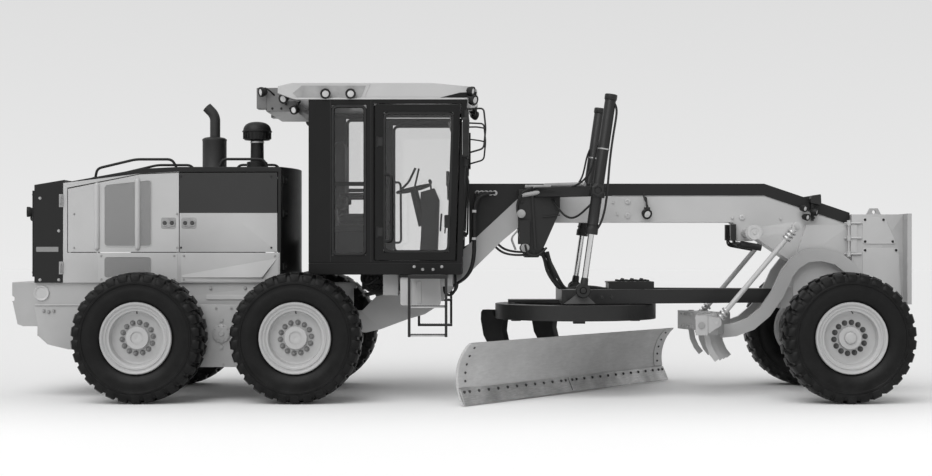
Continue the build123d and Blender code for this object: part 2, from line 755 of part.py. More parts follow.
# Cab doors: a frame round one large window, hinged at the rear edge on the B pillar.
hinge_side_gap = 14
cab_hinge_x = b_pillar_x + hinge_side_gap + 18
door_outline = [
    (b_pillar_x + hinge_side_gap, cab_sill_z + 20 + panel_gap),
    (b_pillar_x + hinge_side_gap, cab_top_z - 45 - panel_gap),
    (front_line(cab_top_z) - 55 - 14, cab_top_z - 45 - panel_gap),
    (front_line(cab_sill_z) - 55 - 14, cab_sill_z + 20 + panel_gap)]
door_window = [
    (b_pillar_x + 95, 1470), (b_pillar_x + 95, 2870), (front_line(2870) - 130, 2870),
    (front_line(1470) - 130, 1470)]
with BuildPart() as cab_door_right:
    with BuildSketch(Plane.XZ.offset(cab_half - cab_door_thickness)):
        with BuildLine():
            Polyline(*door_outline, close=True)
        make_face()
        with BuildLine():
            Polyline(*door_window, close=True)
        make_face(mode=Mode.SUBTRACT)
    extrude(amount=cab_door_thickness)
    with BuildSketch(Plane.XY.offset(cab_sill_z + 20 + seat_gap)):
        with Locations((cab_hinge_x, -cab_half + cab_door_thickness / 2)):
            Circle(cab_pin_radius)
    extrude(amount=60)
cab_door_right.part.label = "cab_door_right"
export_step(cab_door_right.part, "parts/cab_door_right.step")
with BuildPart() as cab_door_left:
    mirror(cab_door_right.part, about=Plane.XZ)
cab_door_left.part.label = "cab_door_left"
export_step(cab_door_left.part, "parts/cab_door_left.step")

# Seat: pedestal, cushion and back.
seat_x = -1130
with BuildPart() as seat_pedestal:
    with BuildSketch(Plane.XY.offset(cab_sill_z)):
        with Locations((seat_x, 0)):
            Rectangle(340, 380)
    extrude(amount=330)
    with BuildSketch(Plane.XY.offset(cab_sill_z + 330)):
        with Locations((seat_x, 0)):
            Rectangle(460, 480)
    extrude(amount=60)
    with BuildSketch(Plane.XZ):
        with BuildLine():
            Polyline(
                (seat_x - 230, cab_sill_z + 390), (seat_x - 195, cab_sill_z + 390),
                (seat_x - 215, 2300), (seat_x - 240, 2300), close=True)
        make_face()
    extrude(amount=180, both=True)
seat_pedestal.part.label = "seat_pedestal"
export_step(seat_pedestal.part, "parts/seat_pedestal.step")
with BuildPart() as seat_cushion:
    with BuildSketch(Plane.XY.offset(cab_sill_z + 390 + seat_gap)):
        with Locations((seat_x + 25, 0)):
            RectangleRounded(420, 500, 60)
    extrude(amount=120)
seat_cushion.part.label = "seat_cushion"
export_step(seat_cushion.part, "parts/seat_cushion.step")
with BuildPart() as seat_back:
    with BuildSketch(Plane.XZ):
        with BuildLine():
            Polyline(
                (seat_x - 200, 1900), (seat_x - 90, 1900), (seat_x - 110, 2420),
                (seat_x - 125, 2640), (seat_x - 200, 2640), (seat_x - 214.7, 2300), close=True)
        make_face()
    extrude(amount=245, both=True)
seat_back.part.label = "seat_back"
export_step(seat_back.part, "parts/seat_back.step")

# Control console on the tunnel, with the steering column. The column and the wheel share an
# axis that leans back from the vertical.
wheel_centre = (-520, 2140)
column_tilt = 13.3
column_radius = 42
column_bore = 26
tunnel_rise = (tunnel_top_z - cab_sill_z) / (cab_front_x + 420)
wheel_plane = Plane(
    origin=(wheel_centre[0], 0, wheel_centre[1]), x_dir=(0, 1, 0),
    z_dir=(-sin(radians(column_tilt)), 0, cos(radians(column_tilt))))
with BuildPart() as control_console:
    with BuildSketch(Plane.XZ):
        with BuildLine():
            Polyline(
                (-460, cab_sill_z + seat_gap), (-420, cab_sill_z + seat_gap),
                (-270, cab_sill_z + seat_gap + 150 * tunnel_rise), (-250, 2020), (-300, 2140),
                (-440, 2100), (-445, 2010), (-430, 1900), (-440, 1620), close=True)
        make_face()
    extrude(amount=150, both=True)
    with BuildSketch(wheel_plane.offset(-400)):
        Circle(column_radius)
    extrude(amount=390)
    with BuildSketch(wheel_plane.offset(-115)):
        Circle(column_bore + running_gap)
    extrude(amount=110, mode=Mode.SUBTRACT)
control_console.part.label = "control_console"
export_step(control_console.part, "parts/control_console.step")

# Steering wheel with three spokes and its shaft.
with BuildPart() as steering_wheel:
    with BuildSketch(wheel_plane):
        Circle(190)
        Circle(160, mode=Mode.SUBTRACT)
    extrude(amount=28)
    with BuildSketch(wheel_plane.offset(4)):
        Circle(50)
        with PolarLocations(100, 3, start_angle=90):
            Rectangle(140, 34)
    extrude(amount=18)
    with BuildSketch(wheel_plane.offset(-110)):
        Circle(column_bore)
    extrude(amount=116)
steering_wheel.part.label = "steering_wheel"
export_step(steering_wheel.part, "parts/steering_wheel.step")

# Access ladders: two uprights, three treads and a landing at the cab's sill, both sides.
ladder_rear_x = -513
ladder_front_x = -152
ladder_y = 1085
with BuildPart() as access_ladders:
    with BuildSketch(Plane.XY.offset(645)):
        with Locations((ladder_rear_x, -ladder_y), (ladder_front_x, -ladder_y)):
            Rectangle(26, 34)
    extrude(amount=590)
    for z0 in (650, 930):
        with BuildSketch(Plane.XY.offset(z0)):
            with Locations(((ladder_rear_x + ladder_front_x) / 2, -ladder_y + 45)):
                Rectangle(ladder_front_x - ladder_rear_x, 120)
        extrude(amount=22)
    with BuildSketch(Plane.XY.offset(1215)):
        with Locations(((ladder_rear_x + ladder_front_x) / 2, -(ladder_y + 17 + cab_half - 40) / 2)):
            Rectangle(ladder_front_x - ladder_rear_x + 26, ladder_y + 17 - cab_half + 40)
    extrude(amount=cab_floor_bottom_z - 1215)
    mirror(about=Plane.XZ)
access_ladders.part.label = "access_ladders"
export_step(access_ladders.part, "parts/access_ladders.step")

# Mirrors on arms from the front pillars.
with BuildPart() as mirrors:
    with BuildSketch(Plane.YZ.offset(8)):
        with Locations((-955, 2600)):
            RectangleRounded(180, 400, 30)
    extrude(amount=60)
    with BuildSketch(Plane.XZ.offset(cab_half - 5)):
        with Locations((38, 2860), (38, 2330)):
            Rectangle(24, 24)
    extrude(amount=172)
    with BuildSketch(Plane.XY.offset(2318)):
        with Locations((38, -955)):
            Rectangle(24, 24)
    extrude(amount=554)
    mirror(about=Plane.XZ)
mirrors.part.label = "mirrors"
export_step(mirrors.part, "parts/mirrors.step")
# ---------------------------------------------------------------- blade linkage
# Saddle clamped on the boom: two side plates joined below it, and arms out to the lift
# cylinders' collars.
with BuildPart() as blade_saddle:
    with BuildSketch(Plane.XZ.offset(boom_half + seat_gap)):
        with BuildLine():
            Polyline(
                (saddle_rear_x, 2120), (saddle_front_x, 2120), (saddle_front_x, 1900), (850, 1560),
                (780, 1420), (640, 1420), (600, 1600), (saddle_rear_x, 1700), close=True)
        make_face()
    extrude(amount=150)
    with BuildSketch(Plane.XY.offset(2040)):
        with BuildLine():
            Polyline(
                (740, -260), (saddle_front_x, -260), (1300, -470), (1445, -540),
                (1445, collar_reach), (1285, collar_reach), (1180, -560), (740, -330), close=True)
        make_face()
    extrude(amount=100)
    mirror(about=Plane.XZ)
    with BuildSketch(Plane.XY.offset(1420)):
        with Locations((710, 0)):
            Rectangle(140, 2 * boom_half + 20)
    extrude(amount=70)
blade_saddle.part.label = "blade_saddle"
export_step(blade_saddle.part, "parts/blade_saddle.step")

# Lift cylinders: each barrel leans forward along the line from the drawbar's stud to its top.
lift_dx = lift_barrel_end[0] - lift_ball[0]
lift_dz = lift_barrel_end[1] - lift_ball[1]
lift_reach = hypot(lift_dx, lift_dz)
lift_dir = (lift_dx / lift_reach, 0, lift_dz / lift_reach)
lift_side = (lift_dir[2], 0, -lift_dir[0])
barrel_length = (lift_barrel_top_z - lift_barrel_end[1]) / lift_dir[2]
stud_plane = Plane(
    origin=(lift_ball[0], -lift_y, lift_ball[1]), x_dir=(0, 1, 0), z_dir=lift_dir)
collar_station = (2090 - lift_ball[1]) / lift_dir[2]
with BuildPart() as lift_cylinder_barrels:
    with BuildSketch(stud_plane.offset(lift_reach)):
        Circle(lift_barrel_radius)
    extrude(amount=barrel_length)
    with BuildSketch(stud_plane.offset(lift_reach)):
        Circle(lift_barrel_radius + 8)
    extrude(amount=60)
    with BuildSketch(stud_plane.offset(collar_station - 65)):
        Circle(collar_radius)
    extrude(amount=130)
    with BuildSketch(stud_plane.offset(lift_reach)):
        Circle(lift_rod_radius + running_gap)
    extrude(amount=barrel_length - 40, mode=Mode.SUBTRACT)
    mirror(about=Plane.XZ)
lift_cylinder_barrels.part.label = "lift_cylinder_barrels"
export_step(lift_cylinder_barrels.part, "parts/lift_cylinder_barrels.step")

# Rods with slotted eyes. The slot runs back from the stud, across the rod.
eye_plane = Plane(origin=(lift_ball[0], -lift_y - 30, lift_ball[1]), x_dir=lift_side, z_dir=(0, 1, 0))
with BuildPart() as lift_rods:
    with BuildSketch(stud_plane.offset(40)):
        Circle(lift_rod_radius)
    extrude(amount=lift_reach + 560)
    with BuildSketch(eye_plane):
        with Locations((-slot_run / 2, 0)):
            SlotCenterToCenter(slot_run, 2 * eye_radius)
    extrude(amount=60)
    with BuildSketch(eye_plane):
        with Locations((-slot_run / 2, 0)):
            SlotCenterToCenter(slot_run, 2 * (stud_radius + seat_gap))
    extrude(amount=60, mode=Mode.SUBTRACT)
    mirror(about=Plane.XZ)
lift_rods.part.label = "lift_rods"
export_step(lift_rods.part, "parts/lift_rods.step")

# Drawbar: A-frame from the ball to a cross beam over the circle, with the circle's drive case,
# guide shoes that reach under the ring, and the studs that the lift rods pull on.
with BuildPart() as drawbar:
    with BuildSketch(Plane.XY.offset(drawbar_bottom_z)):
        with BuildLine():
            Polyline((3215, -20), (3215, -130), (1300, -600), (1300, -470), close=True)
        make_face()
        with Locations((1150, -320)):
            Rectangle(300, 640)
        with Locations((1700, -215)):
            Rectangle(400, 430)
    extrude(amount=drawbar_top_z - drawbar_bottom_z)
    with BuildSketch(Plane.XY.offset(1000)):
        with Locations((1700, -215)):
            Rectangle(340, 430)
    extrude(amount=drawbar_top_z - 1000 + 1, mode=Mode.SUBTRACT)
    with BuildSketch(Plane.XZ.offset(600)):
        with BuildLine():
            Polyline(
                (1080, drawbar_bottom_z), (1300, drawbar_bottom_z), (1270, 1120), (1230, 1145),
                (1190, 1145), (1150, 1120), close=True)
        make_face()
    extrude(amount=60)
    with BuildSketch(Plane.XZ.offset(600)):
        with Locations(lift_ball):
            Circle(stud_radius)
    extrude(amount=lift_y + 40 - 600)
    mirror(about=Plane.XZ)
    with BuildSketch(Plane.XY.offset(drawbar_bottom_z)):
        with Locations((740, 0)):
            Rectangle(540, 300)
    extrude(amount=30)
    with BuildSketch(Plane.XY.offset(990)):
        with Locations((1745, 0)):
            Rectangle(470, 400)
    extrude(amount=180)
    with BuildSketch(Plane.XY.offset(930)):
        with Locations((3175, 0)):
            Rectangle(110, 260)
    extrude(amount=140)
    with BuildSketch(Plane.YZ.offset(3180)):
        with Locations((0, ball_z)):
            Circle(45)
    extrude(amount=ball_x - 3180)
    with Locations((ball_x, 0, ball_z)):
        Sphere(ball_radius)
    # guide shoes: azimuth
    for azimuth in (0, 90, 180, 270):
        shoe_plane = Plane(
            origin=(circle_x, 0, shoe_bottom_z),
            x_dir=(cos(radians(azimuth)), sin(radians(azimuth)), 0), z_dir=(0, 0, 1))
        with BuildSketch(shoe_plane):
            with Locations((shoe_reach - 30, 0)):
                Rectangle(60, 120)
        extrude(amount=drawbar_bottom_z - shoe_bottom_z)
        with BuildSketch(shoe_plane):
            with Locations((shoe_reach + 15, 0)):
                Rectangle(50, 120)
        extrude(amount=circle_bottom_z - seat_gap - shoe_bottom_z)
drawbar.part.label = "drawbar"
export_step(drawbar.part, "parts/drawbar.step")

# Circle: the turning ring and two curved legs down to the blade's pivot. It is drawn in the
# blade's frame (x along the blade, y to its back), then turned to the blade's angle.
blade_frame = Location((circle_x, 0, 0), (0, 0, blade_angle))
with BuildPart() as circle:
    with BuildSketch(Plane.XY.offset(circle_bottom_z)):
        Circle(circle_radius)
        Circle(circle_inner_radius, mode=Mode.SUBTRACT)
    extrude(amount=circle_top_z - circle_bottom_z)
    for x in (-leg_x, leg_x):
        with BuildSketch(Plane.YZ.offset(x - leg_thickness / 2)):
            with BuildLine():
                Polyline(
                    (565, 800), (700, 800), (730, 868), (850, 868), (872, 840), (875, 760),
                    (840, 600), (730, 430), (560, 300), (pitch_axis_y, 225), (pitch_axis_y, 375),
                    (430, 430), (560, 545), (590, 650), (580, 730), close=True)
            make_face()
            with Locations((pitch_axis_y, pitch_axis_z)):
                Circle(75)
        extrude(amount=leg_thickness)
        with BuildSketch(Plane.YZ.offset(x - leg_thickness / 2)):
            with Locations((pitch_axis_y, pitch_axis_z)):
                Circle(pitch_tube_radius + running_gap)
        extrude(amount=leg_thickness, mode=Mode.SUBTRACT)
circle_placed = blade_frame * circle.part
circle_placed.label = "circle"
export_step(circle_placed, "parts/circle.step")

# Blade carrier: pivot tube through the legs, and arms with slotted shoes that hold the two rails
# on the blade's back. Two lugs carry the side shift cylinder.
cylinder_y = 285
cylinder_z = 480
with BuildPart() as blade_carrier:
    with BuildSketch(Plane.YZ.offset(-carrier_x - 50)):
        with Locations((pitch_axis_y, pitch_axis_z)):
            Circle(pitch_tube_radius)
    extrude(amount=2 * carrier_x + 100)
    for x in (-carrier_x, carrier_x):
        with BuildSketch(Plane.YZ.offset(x - 40)):
            with BuildLine():
                Polyline(
                    (112, 110), (112, 230), (180, 230), (180, 360), (112, 360), (112, 480),
                    (215, 480), (300, 390), (390, 330), (390, 270), (300, 210), (215, 110),
                    close=True)
            make_face()
            if x < 0:
                with Locations((cylinder_y, cylinder_z)):
                    Circle(shift_barrel_radius + 20)
                with Locations((cylinder_y - 30, cylinder_z - 60)):
                    Rectangle(90, 90)
        extrude(amount=80)
    with BuildSketch(Plane.YZ.offset(220)):
        with Locations((cylinder_y, cylinder_z)):
            Circle(shift_barrel_radius + 20)
        with Locations((cylinder_y + 30, (cylinder_z + pitch_axis_z) / 2)):
            Rectangle(70, cylinder_z - pitch_axis_z)
    extrude(amount=60)
    with BuildSketch(Plane.YZ.offset(-carrier_x - 60)):
        with Locations((cylinder_y, cylinder_z)):
            Circle(shift_barrel_radius + seat_gap)
        for z in (lower_rail_z, upper_rail_z):
            with Locations((rail_head_y + 15, z)):
                Rectangle(30 + 2 * seat_gap, rail_head + 2 * seat_gap)
            with Locations((rail_head_y - 12, z)):
                Rectangle(30, rail_web + 2 * seat_gap)
    extrude(amount=2 * carrier_x + 120, mode=Mode.SUBTRACT)
carrier_placed = blade_frame * blade_carrier.part
carrier_placed.label = "blade_carrier"
export_step(carrier_placed, "parts/blade_carrier.step")

# Moldboard: a curved plate with two T-rails on its back and a lug for the side shift rod.
with BuildPart() as moldboard:
    with BuildSketch(Plane.YZ):
        with BuildLine():
            t = blade_thickness
            z0 = blade_ground_gap
            ThreePointArc((0, z0), (83, z0 + 300), (-85, z0 + blade_height))
            Line((-85, z0 + blade_height), (-85 + t, z0 + blade_height))
            ThreePointArc((-85 + t, z0 + blade_height), (83 + t, z0 + 300), (t, z0))
            Line((t, z0), (0, z0))
        make_face()
    extrude(amount=blade_length / 2, both=True)
    # rails: centre z, y where the web starts
    for z, y0 in [(lower_rail_z, 86), (upper_rail_z, 72)]:
        with BuildSketch(Plane.YZ):
            with Locations(((y0 + rail_head_y + 5) / 2, z)):
                Rectangle(rail_head_y + 5 - y0, rail_web)
            with Locations((rail_head_y + 15, z)):
                Rectangle(30, rail_head)
        extrude(amount=rail_reach, both=True)
    with BuildSketch(Plane.YZ.offset(shift_lug_x)):
        with BuildLine():
            Polyline(
                (79, 400), (42, 478), (-12, 556), (cylinder_y, cylinder_z + 50),
                (cylinder_y + 50, cylinder_z), (cylinder_y, cylinder_z - 50), (110, 446),
                (100, 400), close=True)
        make_face()
        with Locations((cylinder_y, cylinder_z)):
            Circle(shift_rod_radius + seat_gap, mode=Mode.SUBTRACT)
    extrude(amount=40)
moldboard_placed = blade_frame * moldboard.part
moldboard_placed.label = "moldboard"
export_step(moldboard_placed, "parts/moldboard.step")

# Cutting edge: a flat bar along the blade's bottom, on the front of its curve.
edge_rise = 150
edge_run = 71.6
edge_slant = hypot(edge_rise, edge_run)
edge_front = (-edge_rise / edge_slant, edge_run / edge_slant)
with BuildPart() as cutting_edge:
    with BuildSketch(Plane.YZ):
        with BuildLine():
            corners = []
            for y, z, depth in [
                (0, blade_ground_gap, seat_gap), (edge_run, blade_ground_gap + edge_rise, seat_gap),
                (edge_run, blade_ground_gap + edge_rise, edge_thickness),
                (0, blade_ground_gap, edge_thickness),
            ]:
                corners.append((y + depth * edge_front[0], z + depth * edge_front[1]))
            Polyline(*corners, close=True)
        make_face()
    extrude(amount=blade_length / 2, both=True)
edge_placed = blade_frame * cutting_edge.part
edge_placed.label = "cutting_edge"
export_step(edge_placed, "parts/cutting_edge.step")

# Side shift cylinder: barrel on the carrier, rod to the blade's lug.
with BuildPart() as shift_cylinder_barrel:
    with BuildSketch(Plane.YZ.offset(shift_barrel_rear_x)):
        with Locations((cylinder_y, cylinder_z)):
            Circle(shift_barrel_radius)
    extrude(amount=shift_barrel_length)
    with BuildSketch(Plane.YZ.offset(shift_barrel_rear_x + 30)):
        with Locations((cylinder_y, cylinder_z)):
            Circle(shift_rod_radius + running_gap)
    extrude(amount=shift_barrel_length, mode=Mode.SUBTRACT)
barrel_placed = blade_frame * shift_cylinder_barrel.part
barrel_placed.label = "shift_cylinder_barrel"
export_step(barrel_placed, "parts/shift_cylinder_barrel.step")
with BuildPart() as shift_cylinder_rod:
    with BuildSketch(Plane.YZ.offset(shift_barrel_rear_x + shift_stroke + 100)):
        with Locations((cylinder_y, cylinder_z)):
            Circle(shift_rod_radius)
    extrude(amount=shift_lug_x + 70 - shift_barrel_rear_x - shift_stroke - 100)
rod_placed = blade_frame * shift_cylinder_rod.part
rod_placed.label = "shift_cylinder_rod"
export_step(rod_placed, "parts/shift_cylinder_rod.step")


# ---------------------------------------------------------------- scarifier
def band(points, half):
    """Outline of a bar of width 2 * half along a run of points, square to it at each one."""
    upper = []
    lower = []
    for i, (x, z) in enumerate(points):
        x0, z0 = points[max(i - 1, 0)]
        x1, z1 = points[min(i + 1, len(points) - 1)]
        run = hypot(x1 - x0, z1 - z0)
        nx = -(z1 - z0) / run * half
        nz = (x1 - x0) / run * half
        upper.append((x + nx, z + nz))
        lower.append((x - nx, z - nz))
    return upper + lower[::-1]


arm_line = [
    scarifier_pivot, (3990, 1310), (3860, 1410), (3700, 1450), (3540, 1435), (3420, 1360),
    (3335, 1250), (3242, 1045), (3112, 860), (2964, 735), (2800, 675), (2650, 660)]
with BuildPart() as scarifier_frame:
    with BuildSketch(Plane.XY.offset(scarifier_bottom_z)):
        with BuildLine():
            Polyline(
                (2800, 0), (2581, -590), (2480, -590), (2460, -700), (2340, -700), (2590, 0),
                close=True)
        make_face()
    extrude(amount=scarifier_depth)
    # ears that hold the link's foot: inner face y
    for y in (592, 672):
        with BuildSketch(Plane.XZ.offset(y)):
            with BuildLine():
                Polyline(
                    (2400, 660), (2480, 660), (2560, 715), (2600, 745), (2600, 790), (2560, 815),
                    (2480, 830), (2400, 830), close=True)
            make_face()
        extrude(amount=14)
    with BuildSketch(Plane.XZ.offset(592)):
        with Locations(link_foot):
            Circle(link_pin_radius)
    extrude(amount=94)
    # draft arm
    with BuildSketch(Plane.XZ.offset(draft_arm_inner_y)):
        with BuildLine():
            Polyline(*band(arm_line, 68), close=True)
        make_face()
        with Locations(scarifier_pivot):
            Circle(90)
    extrude(amount=draft_arm_outer_y - draft_arm_inner_y)
    with BuildSketch(Plane.XZ.offset(draft_arm_inner_y)):
        with Locations(scarifier_pivot):
            Circle(arm_pin_radius + running_gap)
    extrude(amount=draft_arm_outer_y - draft_arm_inner_y, mode=Mode.SUBTRACT)
    # tines: distance from the middle, station of the shank
    for y, x in [(195, 2615), (400, 2545), (570, 2470)]:
        with BuildSketch(Plane.XZ.offset(y - 20)):
            with BuildLine():
                Polyline(*band([(x, 848), (x, 640), (x + 15, 540), (x + 55, 450), (x + 105, 385)], 28),
                         close=True)
            make_face()
        extrude(amount=40)
    mirror(about=Plane.XZ)
    with BuildSketch(Plane.XZ):
        with BuildLine():
            Polyline(*band([(2680, 848), (2680, 640), (2695, 540), (2735, 450), (2785, 385)], 28),
                     close=True)
        make_face()
    extrude(amount=20, both=True)
scarifier_frame.part.label = "scarifier_frame"
export_step(scarifier_frame.part, "parts/scarifier_frame.step")

# Rocker: a shaft across the boom with a lever and a stub pin at each end.
with BuildPart() as scarifier_rocker:
    with BuildSketch(Plane.XZ):
        with Locations(rocker_pivot):
            Circle(rocker_shaft_radius)
    extrude(amount=lever_outer_y, both=True)
    for y0, y1 in [(lever_outer_y - 47, lever_outer_y), (-lever_outer_y, 47 - lever_outer_y)]:
        with BuildSketch(Plane.XZ.offset(y0)):
            with BuildLine():
                Polyline(*band([rocker_pivot, rocker_end], 48), close=True)
            make_face()
            with Locations(rocker_pivot):
                Circle(78)
            with Locations(rocker_end):
                Circle(50)
        extrude(amount=y1 - y0)
    with BuildSketch(Plane.XZ):
        with Locations(rocker_end):
            Circle(link_pin_radius)
    extrude(amount=link_y + 35, both=True)
    with BuildSketch(Plane.XZ):
        with Locations(rocker_end):
            Circle(link_pin_radius + 40)
    extrude(amount=lever_outer_y - 47, both=True, mode=Mode.SUBTRACT)
scarifier_rocker.part.label = "scarifier_rocker"
export_step(scarifier_rocker.part, "parts/scarifier_rocker.step")

# Links from the levers down to the scarifier, with a wide lower eye set back from the pin.
link_dx = rocker_end[0] - link_foot[0]
link_dz = rocker_end[1] - link_foot[1]
link_length = hypot(link_dx, link_dz)
link_dir = (link_dx / link_length, 0, link_dz / link_length)
link_plane = Plane(origin=(link_foot[0], -link_y, link_foot[1]), x_dir=(0, 1, 0), z_dir=link_dir)
with BuildPart() as scarifier_links:
    with BuildSketch(link_plane.offset(30)):
        Circle(link_rod_radius)
    extrude(amount=link_length - 60)
    with BuildSketch(Plane.XZ.offset(link_y - 25)):
        with Locations((link_foot[0] - link_eye_offset, link_foot[1])):
            Circle(link_eye_radius)
        with Locations(rocker_end):
            Circle(46)
    extrude(amount=50)
    with BuildSketch(Plane.XZ.offset(link_y - 25)):
        with Locations((link_foot[0] - link_eye_offset, link_foot[1])):
            Circle(link_foot_bore)
        with Locations(rocker_end):
            Circle(link_pin_radius + running_gap)
    extrude(amount=50, mode=Mode.SUBTRACT)
    mirror(about=Plane.XZ)
scarifier_links.part.label = "scarifier_links"
export_step(scarifier_links.part, "parts/scarifier_links.step")

# ---------------------------------------------------------------- front axle
# Axle beam between the bolster's lugs, with a tongue at each end for the lean pivot.
with BuildPart() as front_axle:
    with BuildSketch(Plane.YZ.offset(front_axle_x - axle_lug_near + seat_gap)):
        with BuildLine():
            Polyline(
                (-580, 490), (-580, 635), (-420, 740), (-160, 850), (160, 850), (420, 740),
                (580, 635), (580, 490), (300, 570), (-300, 570), close=True)
        make_face()
    extrude(amount=2 * (axle_lug_near - seat_gap))
    with BuildSketch(Plane.YZ.offset(front_axle_x - tongue_half)):
        with Locations((0, axle_pivot_z)):
            SlotCenterToCenter(2 * kingpin_y, 140)
        with Locations((0, axle_pivot_z)):
            Rectangle(2 * 560, 180, mode=Mode.SUBTRACT)
        with Locations((-kingpin_y, axle_pivot_z), (kingpin_y, axle_pivot_z)):
            Circle(lean_pin_radius + running_gap, mode=Mode.SUBTRACT)
    extrude(amount=2 * tongue_half)
    with BuildSketch(Plane.YZ.offset(front_axle_x - axle_lug_far)):
        with Locations((0, axle_pin_z)):
            Circle(axle_pin_radius)
    extrude(amount=2 * axle_lug_far)
front_axle.part.label = "front_axle"
export_step(front_axle.part, "parts/front_axle.step")

# Lean yokes: an upright drum that straddles the axle's tongue and carries the kingpin bores, with
# a horn forward and up to the lean bar.
with BuildPart() as lean_yoke:
    with BuildSketch(Plane.XY.offset(yoke_bottom_z)):
        with Locations((front_axle_x, -kingpin_y)):
            Circle(yoke_radius)
    extrude(amount=yoke_top_z - yoke_bottom_z)
    with BuildSketch(Plane.XY.offset(620)):
        with Locations((front_axle_x + 95, -kingpin_y + 20)):
            Rectangle(70, 50)
    extrude(amount=70)
    with BuildSketch(Plane.YZ.offset(front_axle_x + 105)):
        with Locations((-kingpin_y + 20, 700)):
            Rectangle(50, 160)
        with Locations((-kingpin_y, axle_pivot_z + lean_bar_z)):
            Circle(26)
        with Locations((-kingpin_y + 12, 770)):
            Rectangle(50, 60)
    extrude(amount=25)
    with BuildSketch(Plane.YZ.offset(front_axle_x + 105)):
        with Locations((-kingpin_y, axle_pivot_z + lean_bar_z)):
            Circle(26)
    extrude(amount=lean_bar_x - 105 - seat_gap)
    with BuildSketch(Plane.YZ.offset(front_axle_x + 105)):
        with Locations((-kingpin_y, axle_pivot_z + lean_bar_z)):
            Circle(bar_pin_radius)
    extrude(amount=lean_bar_x - 105 + 30)
    with BuildSketch(Plane.XZ.offset(kingpin_y - 130)):
        with Locations((front_axle_x, axle_pivot_z)):
            Rectangle(2 * (tongue_half + 5), 220)
    extrude(amount=130 + 76, mode=Mode.SUBTRACT)
    with BuildSketch(Plane.YZ.offset(front_axle_x - tongue_half - 10)):
        with Locations((-kingpin_y, axle_pivot_z)):
            Circle(lean_pin_radius)
    extrude(amount=2 * tongue_half + 20)
    for z0 in (yoke_bottom_z - 1, yoke_top_z - 26):
        with BuildSketch(Plane.XY.offset(z0)):
            with Locations((front_axle_x, -kingpin_y)):
                Circle(kingpin_radius + running_gap)
        extrude(amount=27, mode=Mode.SUBTRACT)
lean_yoke.part.label = "lean_yoke_right"
export_step(lean_yoke.part, "parts/lean_yoke_right.step")
with BuildPart() as lean_yoke_left:
    mirror(lean_yoke.part, about=Plane.XZ)
lean_yoke_left.part.label = "lean_yoke_left"
export_step(lean_yoke_left.part, "parts/lean_yoke_left.step")

# Knuckles: plates above and below the yoke, a web into the wheel, the spindle and a steering arm
# to the rear. The left arm carries a fixed ball; the right one has a bore for the swivel.
plate_top = yoke_top_z + seat_gap
plate_bottom = yoke_bottom_z - seat_gap
for side_name in ("right", "left"):
    with BuildPart() as knuckle:
        for z0 in (plate_top, plate_bottom - knuckle_plate):
            with BuildSketch(Plane.XY.offset(z0)):
                with Locations((front_axle_x, -kingpin_y)):
                    Circle(70)
                with Locations((front_axle_x, -(kingpin_y + web_outer_y) / 2)):
                    Rectangle(120, web_outer_y - kingpin_y)
            extrude(amount=knuckle_plate)
        with BuildSketch(Plane.XZ.offset(web_outer_y - 40)):
            with Locations((front_axle_x, (plate_top + plate_bottom) / 2)):
                Rectangle(120, plate_top - plate_bottom + 2 * knuckle_plate)
        extrude(amount=40)
        with BuildSketch(Plane.XZ.offset(web_outer_y - 40)):
            with Locations((front_axle_x, tyre_radius)):
                Circle(spindle_radius)
        extrude(amount=wheel_centre_y + 40 - web_outer_y + 40)
        for z0 in (plate_top - 24, plate_bottom - 1):
            with BuildSketch(Plane.XY.offset(z0)):
                with Locations((front_axle_x, -kingpin_y)):
                    Circle(kingpin_radius)
            extrude(amount=25)
        with BuildSketch(Plane.XY.offset(plate_bottom - knuckle_plate)):
            with Locations((front_axle_x - steer_arm / 2, -kingpin_y)):
                SlotCenterToCenter(steer_arm, 76)
        extrude(amount=knuckle_plate)
        if side_name == "right":
            with BuildSketch(Plane.XY.offset(plate_bottom - knuckle_plate)):
                with Locations((front_axle_x - steer_arm, -kingpin_y)):
                    Circle(tie_stem_radius + running_gap)
            extrude(amount=knuckle_plate, mode=Mode.SUBTRACT)
        else:
            with BuildSketch(Plane.XY.offset(tie_rod_z)):
                with Locations((front_axle_x - steer_arm, -kingpin_y)):
                    Circle(tie_stem_radius)
            extrude(amount=plate_bottom - 10 - tie_rod_z)
            with Locations((front_axle_x - steer_arm, -kingpin_y, tie_rod_z)):
                Sphere(tie_ball_radius)
    if side_name == "right":
        knuckle_part = knuckle.part
    else:
        with BuildPart() as knuckle_left:
            mirror(knuckle.part, about=Plane.XZ)
        knuckle_part = knuckle_left.part
    knuckle_part.label = f"knuckle_{side_name}"
    export_step(knuckle_part, f"parts/knuckle_{side_name}.step")

# Lean bar across the two horns.
with BuildPart() as lean_bar:
    with BuildSketch(Plane.YZ.offset(front_axle_x + lean_bar_x)):
        with Locations((0, axle_pivot_z + lean_bar_z)):
            SlotCenterToCenter(2 * kingpin_y, 64)
        with Locations((-kingpin_y, axle_pivot_z + lean_bar_z), (kingpin_y, axle_pivot_z + lean_bar_z)):
            Circle(bar_pin_radius + running_gap, mode=Mode.SUBTRACT)
    extrude(amount=28)
lean_bar.part.label = "lean_bar"
export_step(lean_bar.part, "parts/lean_bar.step")

# Tie rod swivel: a ball on a stem that turns in the right steering arm.
with BuildPart() as tie_swivel:
    with BuildSketch(Plane.XY.offset(tie_rod_z)):
        with Locations((front_axle_x - steer_arm, -kingpin_y)):
            Circle(tie_stem_radius)
    extrude(amount=plate_bottom - tie_rod_z)
    with Locations((front_axle_x - steer_arm, -kingpin_y, tie_rod_z)):
        Sphere(tie_ball_radius)
tie_swivel.part.label = "tie_swivel"
export_step(tie_swivel.part, "parts/tie_swivel.step")

